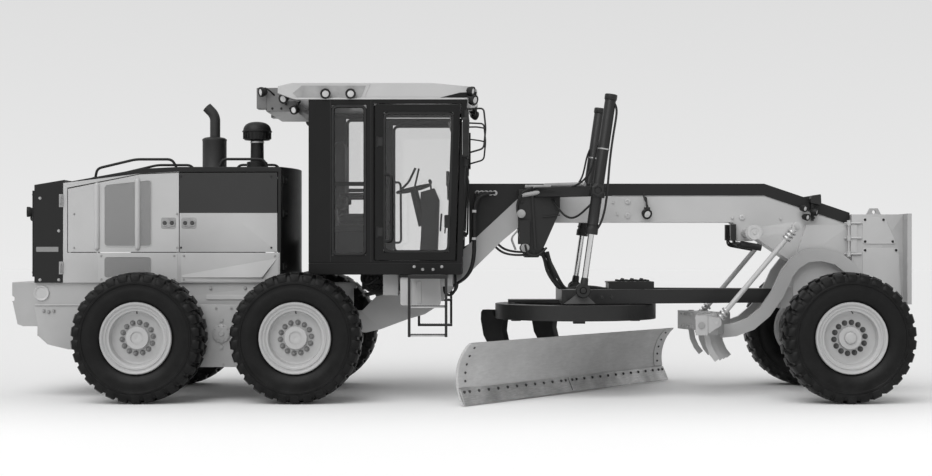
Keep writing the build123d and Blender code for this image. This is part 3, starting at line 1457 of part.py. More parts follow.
# Tie rod with a ball socket at each end.
with BuildPart() as tie_rod:
    with BuildSketch(Plane.XY.offset(tie_rod_z - 14)):
        with Locations((front_axle_x - steer_arm, -kingpin_y), (front_axle_x - steer_arm, kingpin_y)):
            Circle(42)
    extrude(amount=28)
    with BuildSketch(Plane.XZ):
        with Locations((front_axle_x - steer_arm, tie_rod_z)):
            Circle(22)
    extrude(amount=kingpin_y - 36, both=True)
    for y in (-kingpin_y, kingpin_y):
        with Locations((front_axle_x - steer_arm, y, tie_rod_z)):
            Sphere(tie_ball_radius + seat_gap, mode=Mode.SUBTRACT)
tie_rod.part.label = "tie_rod"
export_step(tie_rod.part, "parts/tie_rod.step")
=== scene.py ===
import json
import math
import bmesh
import bpy
import numpy as np
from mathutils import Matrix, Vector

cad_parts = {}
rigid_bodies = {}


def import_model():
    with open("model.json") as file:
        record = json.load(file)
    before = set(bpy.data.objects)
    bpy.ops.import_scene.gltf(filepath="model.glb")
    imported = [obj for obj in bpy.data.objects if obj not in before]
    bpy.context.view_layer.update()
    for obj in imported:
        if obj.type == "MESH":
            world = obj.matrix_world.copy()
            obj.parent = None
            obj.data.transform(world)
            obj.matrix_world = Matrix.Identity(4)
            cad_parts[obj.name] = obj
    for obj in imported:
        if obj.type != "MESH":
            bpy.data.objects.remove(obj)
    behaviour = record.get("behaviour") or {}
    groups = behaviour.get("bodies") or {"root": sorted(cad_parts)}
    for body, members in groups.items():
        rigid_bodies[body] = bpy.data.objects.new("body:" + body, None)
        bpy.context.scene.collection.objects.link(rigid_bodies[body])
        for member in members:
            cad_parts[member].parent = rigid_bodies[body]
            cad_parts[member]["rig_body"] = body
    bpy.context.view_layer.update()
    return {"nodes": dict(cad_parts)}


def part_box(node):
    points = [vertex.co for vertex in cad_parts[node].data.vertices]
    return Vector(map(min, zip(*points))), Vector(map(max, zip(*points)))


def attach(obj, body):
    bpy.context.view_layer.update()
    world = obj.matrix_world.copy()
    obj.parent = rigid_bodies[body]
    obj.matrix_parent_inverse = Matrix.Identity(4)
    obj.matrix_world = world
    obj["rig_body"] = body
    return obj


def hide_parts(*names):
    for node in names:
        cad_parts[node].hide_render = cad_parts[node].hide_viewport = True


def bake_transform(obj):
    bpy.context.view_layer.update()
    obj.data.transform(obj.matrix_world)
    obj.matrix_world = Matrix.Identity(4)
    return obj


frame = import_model()
nodes = frame["nodes"]
print("frame loaded:", len(nodes), "nodes")


camera = {"place": (0.228, -15.67, 1.466), "lens": 57.67, "shift": (-0.0204, 0.0161)}
studio = {
    "skyLight": 0.52,                           # soft light from all round
    "skyTop": "#DCDCDC", "skyLow": "#EBEBEB",   # what the camera sees behind the machine
    "keyPower": 1.75, "keyAngle": 55, "keyTurn": (40, 0, -24),
    "floorReach": 120, "floorNear": "#FFFFFF", "floorFar": "#F0F0F0",
    "fadeBehind": (-4, 0), "fadeAway": (8, 16),     # from near to far tone: by y, and by distance
    "floorGlow": 0.1,                           # seen by the camera only, it lights nothing
}


# sRGB hex to the linear numbers that nodes take: each channel through the sRGB curve.
def linear(hexText):
    channels = np.array([int(hexText[i:i + 2], 16) for i in (1, 3, 5)]) / 255
    curve = np.where(channels <= 0.04045, channels / 12.92, ((channels + 0.055) / 1.055) ** 2.4)
    return (*curve.tolist(), 1.0)


# Adds one node. A setting is an attribute or an input; a socket given to an input is linked, and
# a node given stands for its first output.
def addNode(tree, kind, settings=()):
    node = tree.nodes.new("ShaderNode" + kind)
    for key, value in dict(settings).items():
        if isinstance(value, bpy.types.Node):
            value = value.outputs[0]
        if isinstance(value, bpy.types.NodeSocket):
            tree.links.new(value, node.inputs[key])
        elif isinstance(key, str) and hasattr(node, key):
            setattr(node, key, value)
        else:
            node.inputs[key].default_value = value
    return node


def addObject(name, data):
    thing = bpy.data.objects.new(name, data)
    bpy.context.scene.collection.objects.link(thing)
    return thing


def setUpCamera():
    lens = bpy.data.cameras.new("sideCamera")
    lens.lens = camera["lens"]
    lens.shift_x, lens.shift_y = camera["shift"]
    lens.clip_end = 300
    holder = addObject("sideCamera", lens)
    holder.location = camera["place"]
    holder.rotation_euler = (math.radians(90), 0, 0)
    bpy.context.scene.camera = holder


def setUpLight():
    world = bpy.data.worlds.new("studio")
    bpy.context.scene.world = world
    world.use_nodes = True
    tree = world.node_tree
    tree.nodes.clear()
    place = addNode(tree, "TexCoord")
    height = addNode(tree, "SeparateXYZ", {"Vector": place.outputs["Generated"]})
    rise = addNode(tree, "MapRange", {
        "From Min": -0.02, "From Max": 0.2, "Value": height.outputs["Z"]})
    seen = addNode(tree, "Mix", {
        "data_type": "RGBA", 0: rise, 6: linear(studio["skyLow"]), 7: linear(studio["skyTop"])})
    backdrop = addNode(tree, "Background", {"Color": seen.outputs[2]})
    soft = addNode(tree, "Background", {"Color": (1, 1, 1, 1), "Strength": studio["skyLight"]})
    ray = addNode(tree, "LightPath").outputs
    direct = addNode(tree, "Math", {
        "operation": "MAXIMUM", 0: ray["Is Camera Ray"], 1: ray["Is Transmission Ray"]})
    through = addNode(tree, "Math", {"operation": "MAXIMUM", 0: direct, 1: ray["Is Glossy Ray"]})
    mixed = addNode(tree, "MixShader", {0: through, 1: soft, 2: backdrop})
    addNode(tree, "OutputWorld", {"Surface": mixed})
    key = bpy.data.lights.new("softKey", "SUN")
    key.energy = studio["keyPower"]
    key.angle = math.radians(studio["keyAngle"])
    lamp = addObject("softKey", key)
    lamp.rotation_euler = [math.radians(a) for a in studio["keyTurn"]]
    bpy.context.scene.view_settings.view_transform = "Standard"


# A new material's tree, and the object's own coordinates in it.
def newFinish(name):
    finish = bpy.data.materials.new(name)
    finish.use_nodes = True
    tree = finish.node_tree
    tree.nodes.clear()
    return finish, tree, addNode(tree, "TexCoord").outputs["Object"]


# Ends a finish with one Principled shader; look holds its inputs.
def shade(tree, look):
    addNode(tree, "OutputMaterial", {"Surface": addNode(tree, "BsdfPrincipled", look)})


# Fine relief: noise of that scale (waves per metre), its height given in metres.
def grain(tree, place, scale, depth, detail):
    noise = addNode(tree, "TexNoise", {"Scale": scale, "Detail": detail, "Vector": place})
    return addNode(tree, "Bump", {"Strength": 1, "Distance": depth, "Height": noise})


# Matte studio paper on one wide square: near white under the machine, the backdrop's tone beyond.
def setUpFloor():
    mesh = bpy.data.meshes.new("studioFloor")
    reach = studio["floorReach"]
    corners = [(-reach, -reach, 0), (reach, -reach, 0), (reach, reach, 0), (-reach, reach, 0)]
    mesh.from_pydata(corners, [], [(0, 1, 2, 3)])
    floor = addObject("studioFloor", mesh)
    paper, tree, place = newFinish("floorPaint")
    parts = addNode(tree, "SeparateXYZ", {"Vector": place})
    away = addNode(tree, "VectorMath", {"operation": "LENGTH", 0: place})
    fades = []
    for socket, (low, high) in [(parts.outputs["Y"], studio["fadeBehind"]),
                                (away.outputs["Value"], studio["fadeAway"])]:
        fades.append(addNode(tree, "MapRange", {
            "interpolation_type": "SMOOTHSTEP", "From Min": low, "From Max": high,
            "Value": socket}))
    depth = addNode(tree, "Math", {"operation": "MAXIMUM", 0: fades[0], 1: fades[1]})
    tone = addNode(tree, "Mix", {"data_type": "RGBA", 0: depth, 6: linear(studio["floorNear"]),
                                 7: linear(studio["floorFar"])})
    fading = addNode(tree, "MapRange", {
        "To Min": studio["floorGlow"], "To Max": 0, "Value": depth})
    glow = addNode(tree, "Math", {
        "operation": "MULTIPLY", 0: addNode(tree, "LightPath"), 1: fading})
    shade(tree, {"Roughness": 0.75, "Emission Color": (1, 1, 1, 1), "Base Color": tone.outputs[2],
                 "Emission Strength": glow})
    mesh.materials.append(paper)


setUpCamera()
setUpLight()
setUpFloor()
print("camera, light and floor set")


# Machine enamel, sprayed alkyd over steel plate: a fairly even coat with slight orange peel of
# about 4 mm, faint clouding over half a metre, and pale dust on what faces up. With bounds, the
# darker coat lies above the lowest of the lines (slope, offset) and underTone below it.
def enamel(name, tone, bounds=(), underTone=None, roughness=0.36, patch=0.05, gloss=0.5):
    finish, tree, place = newFinish(name)
    colour = linear(tone)
    if bounds:
        parts = addNode(tree, "SeparateXYZ", {"Vector": place})
        edge = None
        for group in bounds:
            top = None
            for slope, offset in group:
                line = addNode(tree, "Math", {
                    "operation": "MULTIPLY_ADD", 0: parts, 1: slope, 2: offset})
                top = line if top is None else addNode(tree, "Math", {
                    "operation": "MAXIMUM", 0: top, 1: line})
            edge = top if edge is None else addNode(tree, "Math", {
                "operation": "MINIMUM", 0: edge, 1: top})
        above = addNode(tree, "Math", {"operation": "GREATER_THAN", 0: parts.outputs["Z"], 1: edge})
        colour = addNode(tree, "Mix", {
            "data_type": "RGBA", 0: above, 6: linear(underTone), 7: colour}).outputs[2]
    cloud = addNode(tree, "TexNoise", {"Scale": 2, "Detail": 4, "Vector": place})
    light = addNode(tree, "MapRange", {
        "From Min": 0.3, "From Max": 0.7, "To Min": 1 - patch, "To Max": 1 + patch, "Value": cloud})
    shaded = addNode(tree, "Mix", {
        "data_type": "RGBA", "blend_type": "MULTIPLY", 0: 1, 6: colour, 7: light})
    facing = addNode(tree, "NewGeometry")
    up = addNode(tree, "SeparateXYZ", {"Vector": facing.outputs["Normal"]})
    settled = addNode(tree, "MapRange", {
        "From Min": 0.55, "From Max": 1, "To Max": 0.16, "Value": up.outputs["Z"]})
    speck = addNode(tree, "TexNoise", {"Scale": 14, "Detail": 6, "Vector": place})
    dust = addNode(tree, "Math", {"operation": "MULTIPLY", 0: settled, 1: speck})
    dusty = addNode(tree, "Mix", {
        "data_type": "RGBA", 0: dust, 6: shaded.outputs[2], 7: linear("#A8A8A8")})
    haze = addNode(tree, "MapRange", {
        "To Min": roughness - 0.05, "To Max": roughness + 0.09, "Value": speck})
    shade(tree, {"IOR": 1.5, "Specular IOR Level": gloss, "Base Color": dusty.outputs[2],
                 "Roughness": haze, "Normal": grain(tree, place, 240, 0.00012, 1)})
    return finish


# Carbon black rubber, moulded: deep grey with almost no shine, a fine 1.5 mm grain, and dry dust
# that pales the foot of the machine's tyres more than their top.
def tyreRubber():
    finish, tree, place = newFinish("tyreRubber")
    height = addNode(tree, "SeparateXYZ", {"Vector": place}).outputs["Z"]
    mud = addNode(tree, "TexNoise", {"Scale": 7, "Detail": 6, "Roughness": 0.6, "Vector": place})
    wide = addNode(tree, "MapRange", {"From Min": 0.35, "From Max": 0.75, "Value": mud})
    low = addNode(tree, "MapRange", {
        "From Min": 0.5, "From Max": 0, "To Min": 0.12, "To Max": 0.4, "Value": height})
    share = addNode(tree, "Math", {"operation": "MULTIPLY", 0: wide, 1: low})
    colour = addNode(tree, "Mix", {
        "data_type": "RGBA", 0: share, 6: linear("#060606"), 7: linear("#343434")})
    shade(tree, {"Roughness": 0.47, "IOR": 1.52, "Specular IOR Level": 0.2,
                 "Base Color": colour.outputs[2], "Normal": grain(tree, place, 650, 0.0004, 3)})
    return finish


# Rolled carbon steel with its paint rubbed off by soil: mid grey, long fine scratches drawn out
# along the travel, about 2 mm apart, duller where a thin rust or paint film is left.
def wornSteel(name, tone, scratchTone, scratchScale, roughness, metallic):
    finish, tree, place = newFinish(name)
    run = addNode(tree, "Mapping", {"Scale": scratchScale, "Vector": place})
    streak = addNode(tree, "TexNoise", {"Scale": 9, "Detail": 8, "Roughness": 0.7, "Vector": run})
    film = addNode(tree, "TexNoise", {"Scale": 3.2, "Detail": 6, "Vector": place})
    both = addNode(tree, "Math", {"operation": "MULTIPLY", 0: streak, 1: film})
    share = addNode(tree, "MapRange", {"From Min": 0.14, "From Max": 0.4, "Value": both})
    colour = addNode(tree, "Mix", {
        "data_type": "RGBA", 0: share, 6: linear(tone), 7: linear(scratchTone)})
    dull = addNode(tree, "MapRange", {
        "To Min": roughness + 0.12, "To Max": roughness - 0.1, "Value": streak})
    relief = addNode(tree, "Bump", {"Strength": 0.6, "Distance": 0.0006, "Height": streak})
    shade(tree, {"Metallic": metallic, "Base Color": colour.outputs[2], "Roughness": dull,
                 "Normal": relief})
    return finish


# Hard chrome on a ground rod: a bright mirror with faint polishing marks of about 1 mm, blurred
# a little by a thin film of oil.
def hardChrome():
    finish, tree, place = newFinish("hardChrome")
    film = addNode(tree, "TexNoise", {"Scale": 30, "Detail": 5, "Vector": place})
    blur = addNode(tree, "MapRange", {"To Min": 0.08, "To Max": 0.26, "Value": film})
    shade(tree, {"Base Color": linear("#D8D8D8"), "Metallic": 1, "Roughness": blur,
                 "Normal": grain(tree, place, 900, 0.00003, 1)})
    return finish


# Grey iron or forged steel under thin paint: pebbled by the sand mould at about 3 mm.
def castIron(name, tone, roughness=0.55, metallic=0):
    finish, tree, place = newFinish(name)
    stain = addNode(tree, "TexNoise", {"Scale": 9, "Detail": 7, "Vector": place})
    span = addNode(tree, "MapRange", {
        "From Min": 0.3, "From Max": 0.7, "To Min": 0.82, "To Max": 1.15, "Value": stain})
    colour = addNode(tree, "Mix", {
        "data_type": "RGBA", "blend_type": "MULTIPLY", 0: 1, 6: linear(tone), 7: span})
    shade(tree, {"Metallic": metallic, "Roughness": roughness, "IOR": 1.5,
                 "Base Color": colour.outputs[2], "Normal": grain(tree, place, 330, 0.0006, 3)})
    return finish


# Injection moulded ABS or polypropylene: even colour, leather-like mould grain of about 2 mm.
def mouldedPlastic(name, tone, roughness=0.5):
    finish, tree, place = newFinish(name)
    cell = addNode(tree, "TexVoronoi", {"Scale": 480, "Vector": place})
    relief = addNode(tree, "Bump", {"Strength": 0.5, "Distance": 0.0003, "Height": cell})
    dust = addNode(tree, "TexNoise", {"Scale": 11, "Detail": 5, "Vector": place})
    fade = addNode(tree, "MapRange", {"To Max": 0.07, "Value": dust})
    colour = addNode(tree, "Mix", {
        "data_type": "RGBA", 0: fade, 6: linear(tone), 7: linear("#909090")})
    shade(tree, {"Roughness": roughness, "IOR": 1.5, "Specular IOR Level": 0.3,
                 "Base Color": colour.outputs[2], "Normal": relief})
    return finish


# Tempered float glass, clear, with a weak film of dust on it.
def safetyGlass(name, tone):
    finish, tree, place = newFinish(name)
    film = addNode(tree, "TexNoise", {"Scale": 5, "Detail": 6, "Vector": place})
    blur = addNode(tree, "MapRange", {
        "From Min": 0.45, "From Max": 0.8, "To Max": 0.012, "Value": film})
    shade(tree, {"Base Color": linear(tone), "Transmission Weight": 1, "IOR": 1.45,
                 "Roughness": blur})
    return finish


# Woven polyester seat cloth over foam: twill threads drawn 3 mm apart, coarser than the real 1 mm
# ones so that they show, with the sheen of brushed fibre.
def wovenCloth():
    finish, tree, place = newFinish("wovenCloth")
    across, along = [addNode(tree, "TexWave", {
        "Scale": 52, "Distortion": 0.6, "bands_direction": way, "Vector": place}).outputs["Fac"]
        for way in ("DIAGONAL", "Y")]
    weave = addNode(tree, "Math", {"operation": "MULTIPLY", 0: across, 1: along})
    colour = addNode(tree, "Mix", {
        "data_type": "RGBA", 0: weave, 6: linear("#161616"), 7: linear("#353535")})
    relief = addNode(tree, "Bump", {"Strength": 0.7, "Distance": 0.0008, "Height": weave})
    shade(tree, {"Roughness": 0.9, "Sheen Weight": 0.3, "Sheen Roughness": 0.5,
                 "Base Color": colour.outputs[2], "Normal": relief})
    return finish


# Punched steel sheet: round holes in staggered rows, each pitch metres from the next. A point is
# in a hole where it lies nearer than the hole's radius to a point of either of two grids shifted
# by half a step; holes are painted a mid grey, painted shade for the dim space behind them.
def perforatedSheet(name, tone, pitch=0.011, hole=0.0042, squash=0.58):
    finish, tree, place = newFinish(name)
    reaches = []
    for shift in (0, 0.5):
        cells = addNode(tree, "VectorMath", {
            "operation": "MULTIPLY_ADD", 0: place, 1: (1 / pitch, 0, squash / pitch),
            2: (shift, 0, shift)})
        local = addNode(tree, "VectorMath", {"operation": "FRACTION", 0: cells})
        centred = addNode(tree, "VectorMath", {
            "operation": "MULTIPLY_ADD", 0: local, 1: (pitch, 0, pitch / squash),
            2: (-pitch / 2, 0, -pitch / 2 / squash)})
        reaches.append(addNode(tree, "VectorMath", {
            "operation": "LENGTH", 0: centred}).outputs["Value"])
    nearest = addNode(tree, "Math", {"operation": "MINIMUM", 0: reaches[0], 1: reaches[1]})
    inHole = addNode(tree, "MapRange", {
        "From Min": hole * 1.1, "From Max": hole * 0.9, "Value": nearest})
    colour = addNode(tree, "Mix", {
        "data_type": "RGBA", 0: inHole, 6: linear(tone), 7: linear("#5A5A5A")})
    relief = addNode(tree, "Bump", {
        "Strength": 0.8, "Distance": 0.001, "invert": True, "Height": inHole})
    shade(tree, {"Roughness": 0.45, "IOR": 1.5, "Base Color": colour.outputs[2],
                 "Normal": relief})
    return finish


# Silvered glass of the mirrors.
def silveredGlass():
    finish, tree, _ = newFinish("mirrorSilver")
    shade(tree, {"Base Color": linear("#C8C8C8"), "Metallic": 1, "Roughness": 0.05})
    return finish


lightTone = "#B9B9B9"
# where the dark coat ends: groups of lines (slope, offset) in x and z, the lowest group counts
boomEdge = [[(0, 2.058)], [(0.93, 1.5), (-400, -118.8)], [(-0.34, 3.122)]]
roofEdge = [[(-400, -733), (0, 3)], [(-400, -733), (-400, -665)]]
hoodEdge = [[(400, 1616)], [(0.124, 2.6735)], [(0.05, 2.431)], [(0, 1.4695), (-400, -1143.4)],
            [(-400, -736.5)]]
lightEnamel = enamel("lightEnamel", lightTone)
frameEnamel = enamel("frameEnamel", "#ABABAB", patch=0.07)
darkEnamel = enamel("darkEnamel", "#181818", roughness=0.4, patch=0.1, gloss=0.25)
cabEnamel = enamel("cabEnamel", "#141414", roughness=0.33, patch=0.08, gloss=0.22)
rimEnamel = enamel("rimEnamel", "#AEAEAE", roughness=0.3)
roofEnamel = enamel("roofEnamel", "#BABABA", roofEdge, "#6E6E6E", roughness=0.34)
linkageEnamel = enamel("linkageEnamel", "#1F1F1F", roughness=0.42, patch=0.12, gloss=0.35)
boomEnamel = enamel("boomEnamel", "#1C1C1C", boomEdge, lightTone, gloss=0.3)
frontDoorEnamel = enamel("frontDoorEnamel", "#2C2C2C", [[(0, 1.87)]], lightTone, gloss=0.4)
hoodEnamel = enamel("hoodEnamel", "#1A1A1A", hoodEdge, lightTone, gloss=0.3)
gussetEnamel = enamel("gussetEnamel", "#4A4A4A", roughness=0.42)
caseEnamel = enamel("caseEnamel", "#A6A6A6", roughness=0.42, patch=0.1)
tyreBlack = tyreRubber()
bladeSteel = wornSteel("bladeEnamelWorn", "#B6B6B6", "#CACACA", (1, 1, 5), 0.5, 0.1)
edgeSteel = wornSteel("edgeSteel", "#8F8F8F", "#D2D2D2", (1.2, 1.2, 30), 0.36, 0.6)
rodChrome = hardChrome()
darkIron = castIron("darkIron", "#1F1F1F")
paleIron = castIron("paleIron", "#9C9C9C")
nutIron = castIron("nutIron", "#4C4C4C", 0.45, 0.4)
paintedNut = castIron("paintedNut", "#787878", 0.4)
zincBolt = castIron("zincBolt", "#B8B8B8", 0.35, 0.8)
blackBolt = castIron("blackBolt", "#1C1C1C", 0.45, 0.2)
lampFace = castIron("lampLens", "#D0D0D0", 0.12)
blackPlastic = mouldedPlastic("blackPlastic", "#0C0C0C")
greyPlastic = mouldedPlastic("greyPlastic", "#2C2C2C", 0.55)
rubberHose = mouldedPlastic("rubberHose", "#191919", 0.6)
greyStrip = mouldedPlastic("reflectiveTape", "#8A8A8A", 0.3)
paneGlass = safetyGlass("paneGlass", "#F0F0F0")
mirrorGlass = silveredGlass()
seatCloth = wovenCloth()
grilleSheet = perforatedSheet("grilleSheet", "#A8A8A8")

print("finishes made")


# A shape is (points, faces). Each is a grid of rings; neighbouring grid points make the quads.
# grid[i, j] is point j of ring i. Quads join i to i + 1 and j to j + 1 round the ring; the ends
# close as one face each, unless the rings run round to the first.
def skin(grid, closeRings=False):
    index = np.arange(grid.shape[0] * grid.shape[1]).reshape(grid.shape[:2])
    here, ahead = (index, np.roll(index, -1, axis=0)) if closeRings else (index[:-1], index[1:])
    quads = np.stack([here, np.roll(here, -1, 1), np.roll(ahead, -1, 1), ahead], -1)
    faces = quads.reshape(-1, 4).tolist()
    if not closeRings:
        faces += [index[0][::-1].tolist(), index[-1].tolist()]
    return grid.reshape(-1, 3), faces


# The axis at unit length, and two unit directions square to it and to each other.
def sidewaysOf(axis):
    axis = np.array(axis, float) / np.linalg.norm(axis)
    first = np.cross(axis, np.eye(3)[np.argmin(np.abs(axis))])
    first /= np.linalg.norm(first)
    return axis, first, np.cross(axis, first)


# A profile of (distance along the axis, radius) spun about the axis through base.
def turned(profile, base, axis, sides, closed=False):
    axis, first, second = sidewaysOf(axis)
    profile = np.array(profile, float)
    angle = evenly(sides)[:, None]
    ray = np.cos(angle) * first + np.sin(angle) * second
    far, wide = profile[:, 0, None, None], profile[:, 1, None, None]
    grid = np.array(base, float) + far * axis + wide * ray
    return skin(grid, closed)


# A plain disc or peg that stands on base.
def disc(radius, height, base, axis, sides):
    return turned([(0, 0), (0, radius), (height, radius), (height, 0)], base, axis, sides)


# A circle carried along a path, each ring square to the path's direction there.
def carried(path, radius, sides, closed=False, flatten=1.0):
    path = np.array(path, float)
    ahead = np.roll(path, -1, 0) - np.roll(path, 1, 0) if closed else np.gradient(path, axis=0)
    ahead /= np.linalg.norm(ahead, axis=1)[:, None]
    first = np.cross(ahead, np.eye(3)[np.argmin(np.abs(ahead).max(0))])
    first /= np.linalg.norm(first, axis=1)[:, None]
    second = np.cross(ahead, first)
    angle = evenly(sides)
    ring = np.cos(angle)[None, :, None] * first[:, None] \
        + flatten * np.sin(angle)[None, :, None] * second[:, None]
    radii = np.broadcast_to(np.array(radius, float), (len(path),))[:, None, None]
    return skin(path[:, None] + radii * ring, closed)


# Points of the parabola from start to end that the corner pulls.
def parabola(start, corner, end):
    share = np.linspace(0, 1, 5)[:, None]
    return (1 - share) ** 2 * start + 2 * share * (1 - share) * corner + share ** 2 * end


# The point reach away from corner toward another, at most share of the way.
def toward(corner, point, reach, share=1):
    long = np.linalg.norm(point - corner)
    return corner + (point - corner) / long * min(reach, share * long)


# A rigid tube: straight runs, each corner a parabola that starts bend before it.
def tube(corners, bend, radius, sides=8):
    corners = np.array(corners, float)
    line = [corners[0]]
    for before, corner, after in zip(corners[:-2], corners[1:-1], corners[2:]):
        line.extend(parabola(toward(corner, before, bend, 0.45), corner,
                             toward(corner, after, bend, 0.45)))
    return carried([*line, corners[-1]], radius, sides)


# A hose's line: a uniform cubic B-spline over the knots, held at both ends.
def flowing(knots, steps=8):
    knots = np.array(knots, float)
    knots = np.vstack([2 * knots[:1] - knots[1:2], knots, 2 * knots[-1:] - knots[-2:-1]])
    t = np.linspace(0, 1, steps, endpoint=False)[None, :, None]
    a, b, c, d = (knots[i:len(knots) - 3 + i, None] for i in range(4))
    run = ((1 - t) ** 3 * a + (3 * t ** 3 - 6 * t ** 2 + 4) * b
           + (-3 * t ** 3 + 3 * t ** 2 + 3 * t + 1) * c + t ** 3 * d) / 6
    return np.vstack([run.reshape(-1, 3), knots[-2:-1]])


def hoses(lines, radius, sides=8):
    return joined(*[carried(flowing(line), radius, sides) for line in lines])


# A flat outline given thickness along the axis named by across: x takes (y, z) corners, y takes
# (x, z) and z takes (x, y).
def plate(outline, across, low, high):
    outline = np.array(outline, float)
    order = {"x": (2, 0, 1), "y": (0, 2, 1), "z": (0, 1, 2)}[across]
    return skin(np.array([np.column_stack([outline, np.full(len(outline), level)])[:, order]
                          for level in (low, high)]))


def block(low, high):
    (x0, y0, z0), (x1, y1, z1) = low, high
    return plate([(x0, y0), (x1, y0), (x1, y1), (x0, y1)], "z", z0, z1)


# Outline of a rectangle with round corners.
def softRectangle(centre, width, height, radius, steps=4):
    arcs = []
    for turn, (sx, sy) in enumerate([(1, 1), (-1, 1), (-1, -1), (1, -1)]):
        a = np.linspace(0, math.pi / 2, steps) + turn * math.pi / 2
        arcs.append(np.column_stack([
            centre[0] + sx * (width / 2 - radius) + radius * np.cos(a),
            centre[1] + sy * (height / 2 - radius) + radius * np.sin(a)]))
    return np.vstack(arcs)


# Outline of a polygon whose corners are parabolas.
def roundCorners(outline, radius):
    outline = np.array(outline, float)
    points = []
    for a, corner, b in zip(np.roll(outline, 1, 0), outline, np.roll(outline, -1, 0)):
        points.extend(parabola(toward(corner, a, radius), corner, toward(corner, b, radius)))
    return np.array(points)


# Moves each corner of a quadrilateral toward the middle by amount in x and z.
def insetOutline(outline, amount):
    outline = np.array(outline)
    return outline - np.sign(outline - outline.mean(0)) * amount


# A round bead along a closed outline (x, z) on the plane y = level.
def beadShape(outline, level, radius):
    path = np.insert(np.array(outline), 1, level, axis=1)
    return carried(path, radius, 6, closed=True)


def joined(*shapes):
    points, faces, count = [], [], 0
    for shape in shapes:
        points.append(shape[0])
        faces += [[v + count for v in face] for face in shape[1]]
        count += len(shape[0])
    return np.vstack(points), faces


# The same shape again at each place.
def copies(shape, places):
    return joined(*[(shape[0] + np.array(place, float), shape[1]) for place in places])


# The same shape again at each angle, turned from one axis (0, 1 or 2) toward the other.
def turnedCopies(shape, centre, one, other, angles):
    pieces = []
    for a in angles:
        spin = np.eye(3)
        spin[one, one] = spin[other, other] = math.cos(a)
        spin[one, other], spin[other, one] = -math.sin(a), math.sin(a)
        pieces.append(((shape[0] - centre) @ spin.T + centre, shape[1]))
    return joined(*pieces)


# Angles evenly round a circle.
def evenly(count, start=0.0):
    return np.linspace(0, 2 * math.pi, count, endpoint=False) + start


# The same on the machine's other side.
def mirrored(shape):
    return shape[0] * (1, -1, 1), [face[::-1] for face in shape[1]]


def bothSides(shape):
    return joined(shape, mirrored(shape))


# A washer and a chamfered hexagon head at each place; size is the head's width over its corners.
def bolts(size, direction, places):
    r, origin = size / 2, (0, 0, 0)
    washer = disc(1.35 * r, 0.22 * r, origin, direction, 14)
    head = turned([(0.2 * r, 0), (0.2 * r, r), (0.95 * r, r), (1.15 * r, 0.82 * r), (1.15 * r, 0)],
                  origin, direction, 6)
    return copies(joined(washer, head), places)


# Bolts that face the machine's right at the (x, z) spots of the plane y.
def sideBolts(size, y, spots):
    return bolts(size, rightward, [(x, y, z) for x, z in spots])


# Edge radius by a bevel, no finer than what shows.
def addEdge(piece, width):
    soften = piece.modifiers.new("edge", "BEVEL")
    soften.width = width
    soften.segments = 2
    soften.limit_method = "ANGLE"
    soften.angle_limit = math.radians(sharpAngle)
    soften.harden_normals = True
    soften.use_clamp_overlap = True


# Puts a mesh in the scene with its finish, and rides it on its body if one is given.
def dress(name, mesh, body, finish, edge, creases):
    mesh.shade_smooth()
    mesh.set_sharp_from_angle(angle=math.radians(creases))
    mesh.materials.clear()
    mesh.materials.append(finish)
    piece = addObject(name, mesh)
    if edge:
        addEdge(piece, edge)
    if body:
        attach(piece, body)
    return piece


# A piece from a shape: welded, faced outwards, dressed.
def makePiece(name, shape, body, finish, edge=0, slotName=None, creases=38):
    mesh = bpy.data.meshes.new(name)
    mesh.from_pydata(shape[0].tolist(), [], shape[1])
    weld = bmesh.new()
    weld.from_mesh(mesh)
    bmesh.ops.remove_doubles(weld, verts=weld.verts, dist=1e-6)
    bmesh.ops.dissolve_degenerate(weld, edges=weld.edges, dist=1e-7)
    bmesh.ops.recalc_face_normals(weld, faces=weld.faces)
    weld.to_mesh(mesh)
    weld.free()
    return dress(name, mesh, body, finish, edge, creases)


# Pieces on both sides of one body; a row is (name, shape, finish), then edge and slot if given; the
# slot is not used.
def addPairs(body, rows):
    for name, shape, *rest in rows:
        makePiece(name, bothSides(shape), body, *rest)


# A welded copy of a CAD node whose corners a bevel rounds. It stands for the node.
def roundedCopy(nodeName, finish, edge):
    mesh = nodes[nodeName].data.copy()
    mesh.name = camel(nodeName + "_finished")
    weld = bmesh.new()
    weld.from_mesh(mesh)
    bmesh.ops.remove_doubles(weld, verts=weld.verts, dist=2e-5)
    weld.to_mesh(mesh)
    weld.free()
    piece = dress(mesh.name, mesh, nodes[nodeName]["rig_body"], finish, edge, sharpAngle)
    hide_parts(nodeName)


def camel(nodeName):
    first, *rest = nodeName.split("_")
    return first + "".join(word.capitalize() for word in rest)


rightward, upward, forward = (0, -1, 0), (0, 0, 1), (1, 0, 0)
sharpAngle = 32         # degrees; the copies' flatter creases stay smooth
hands = ("right", "left")
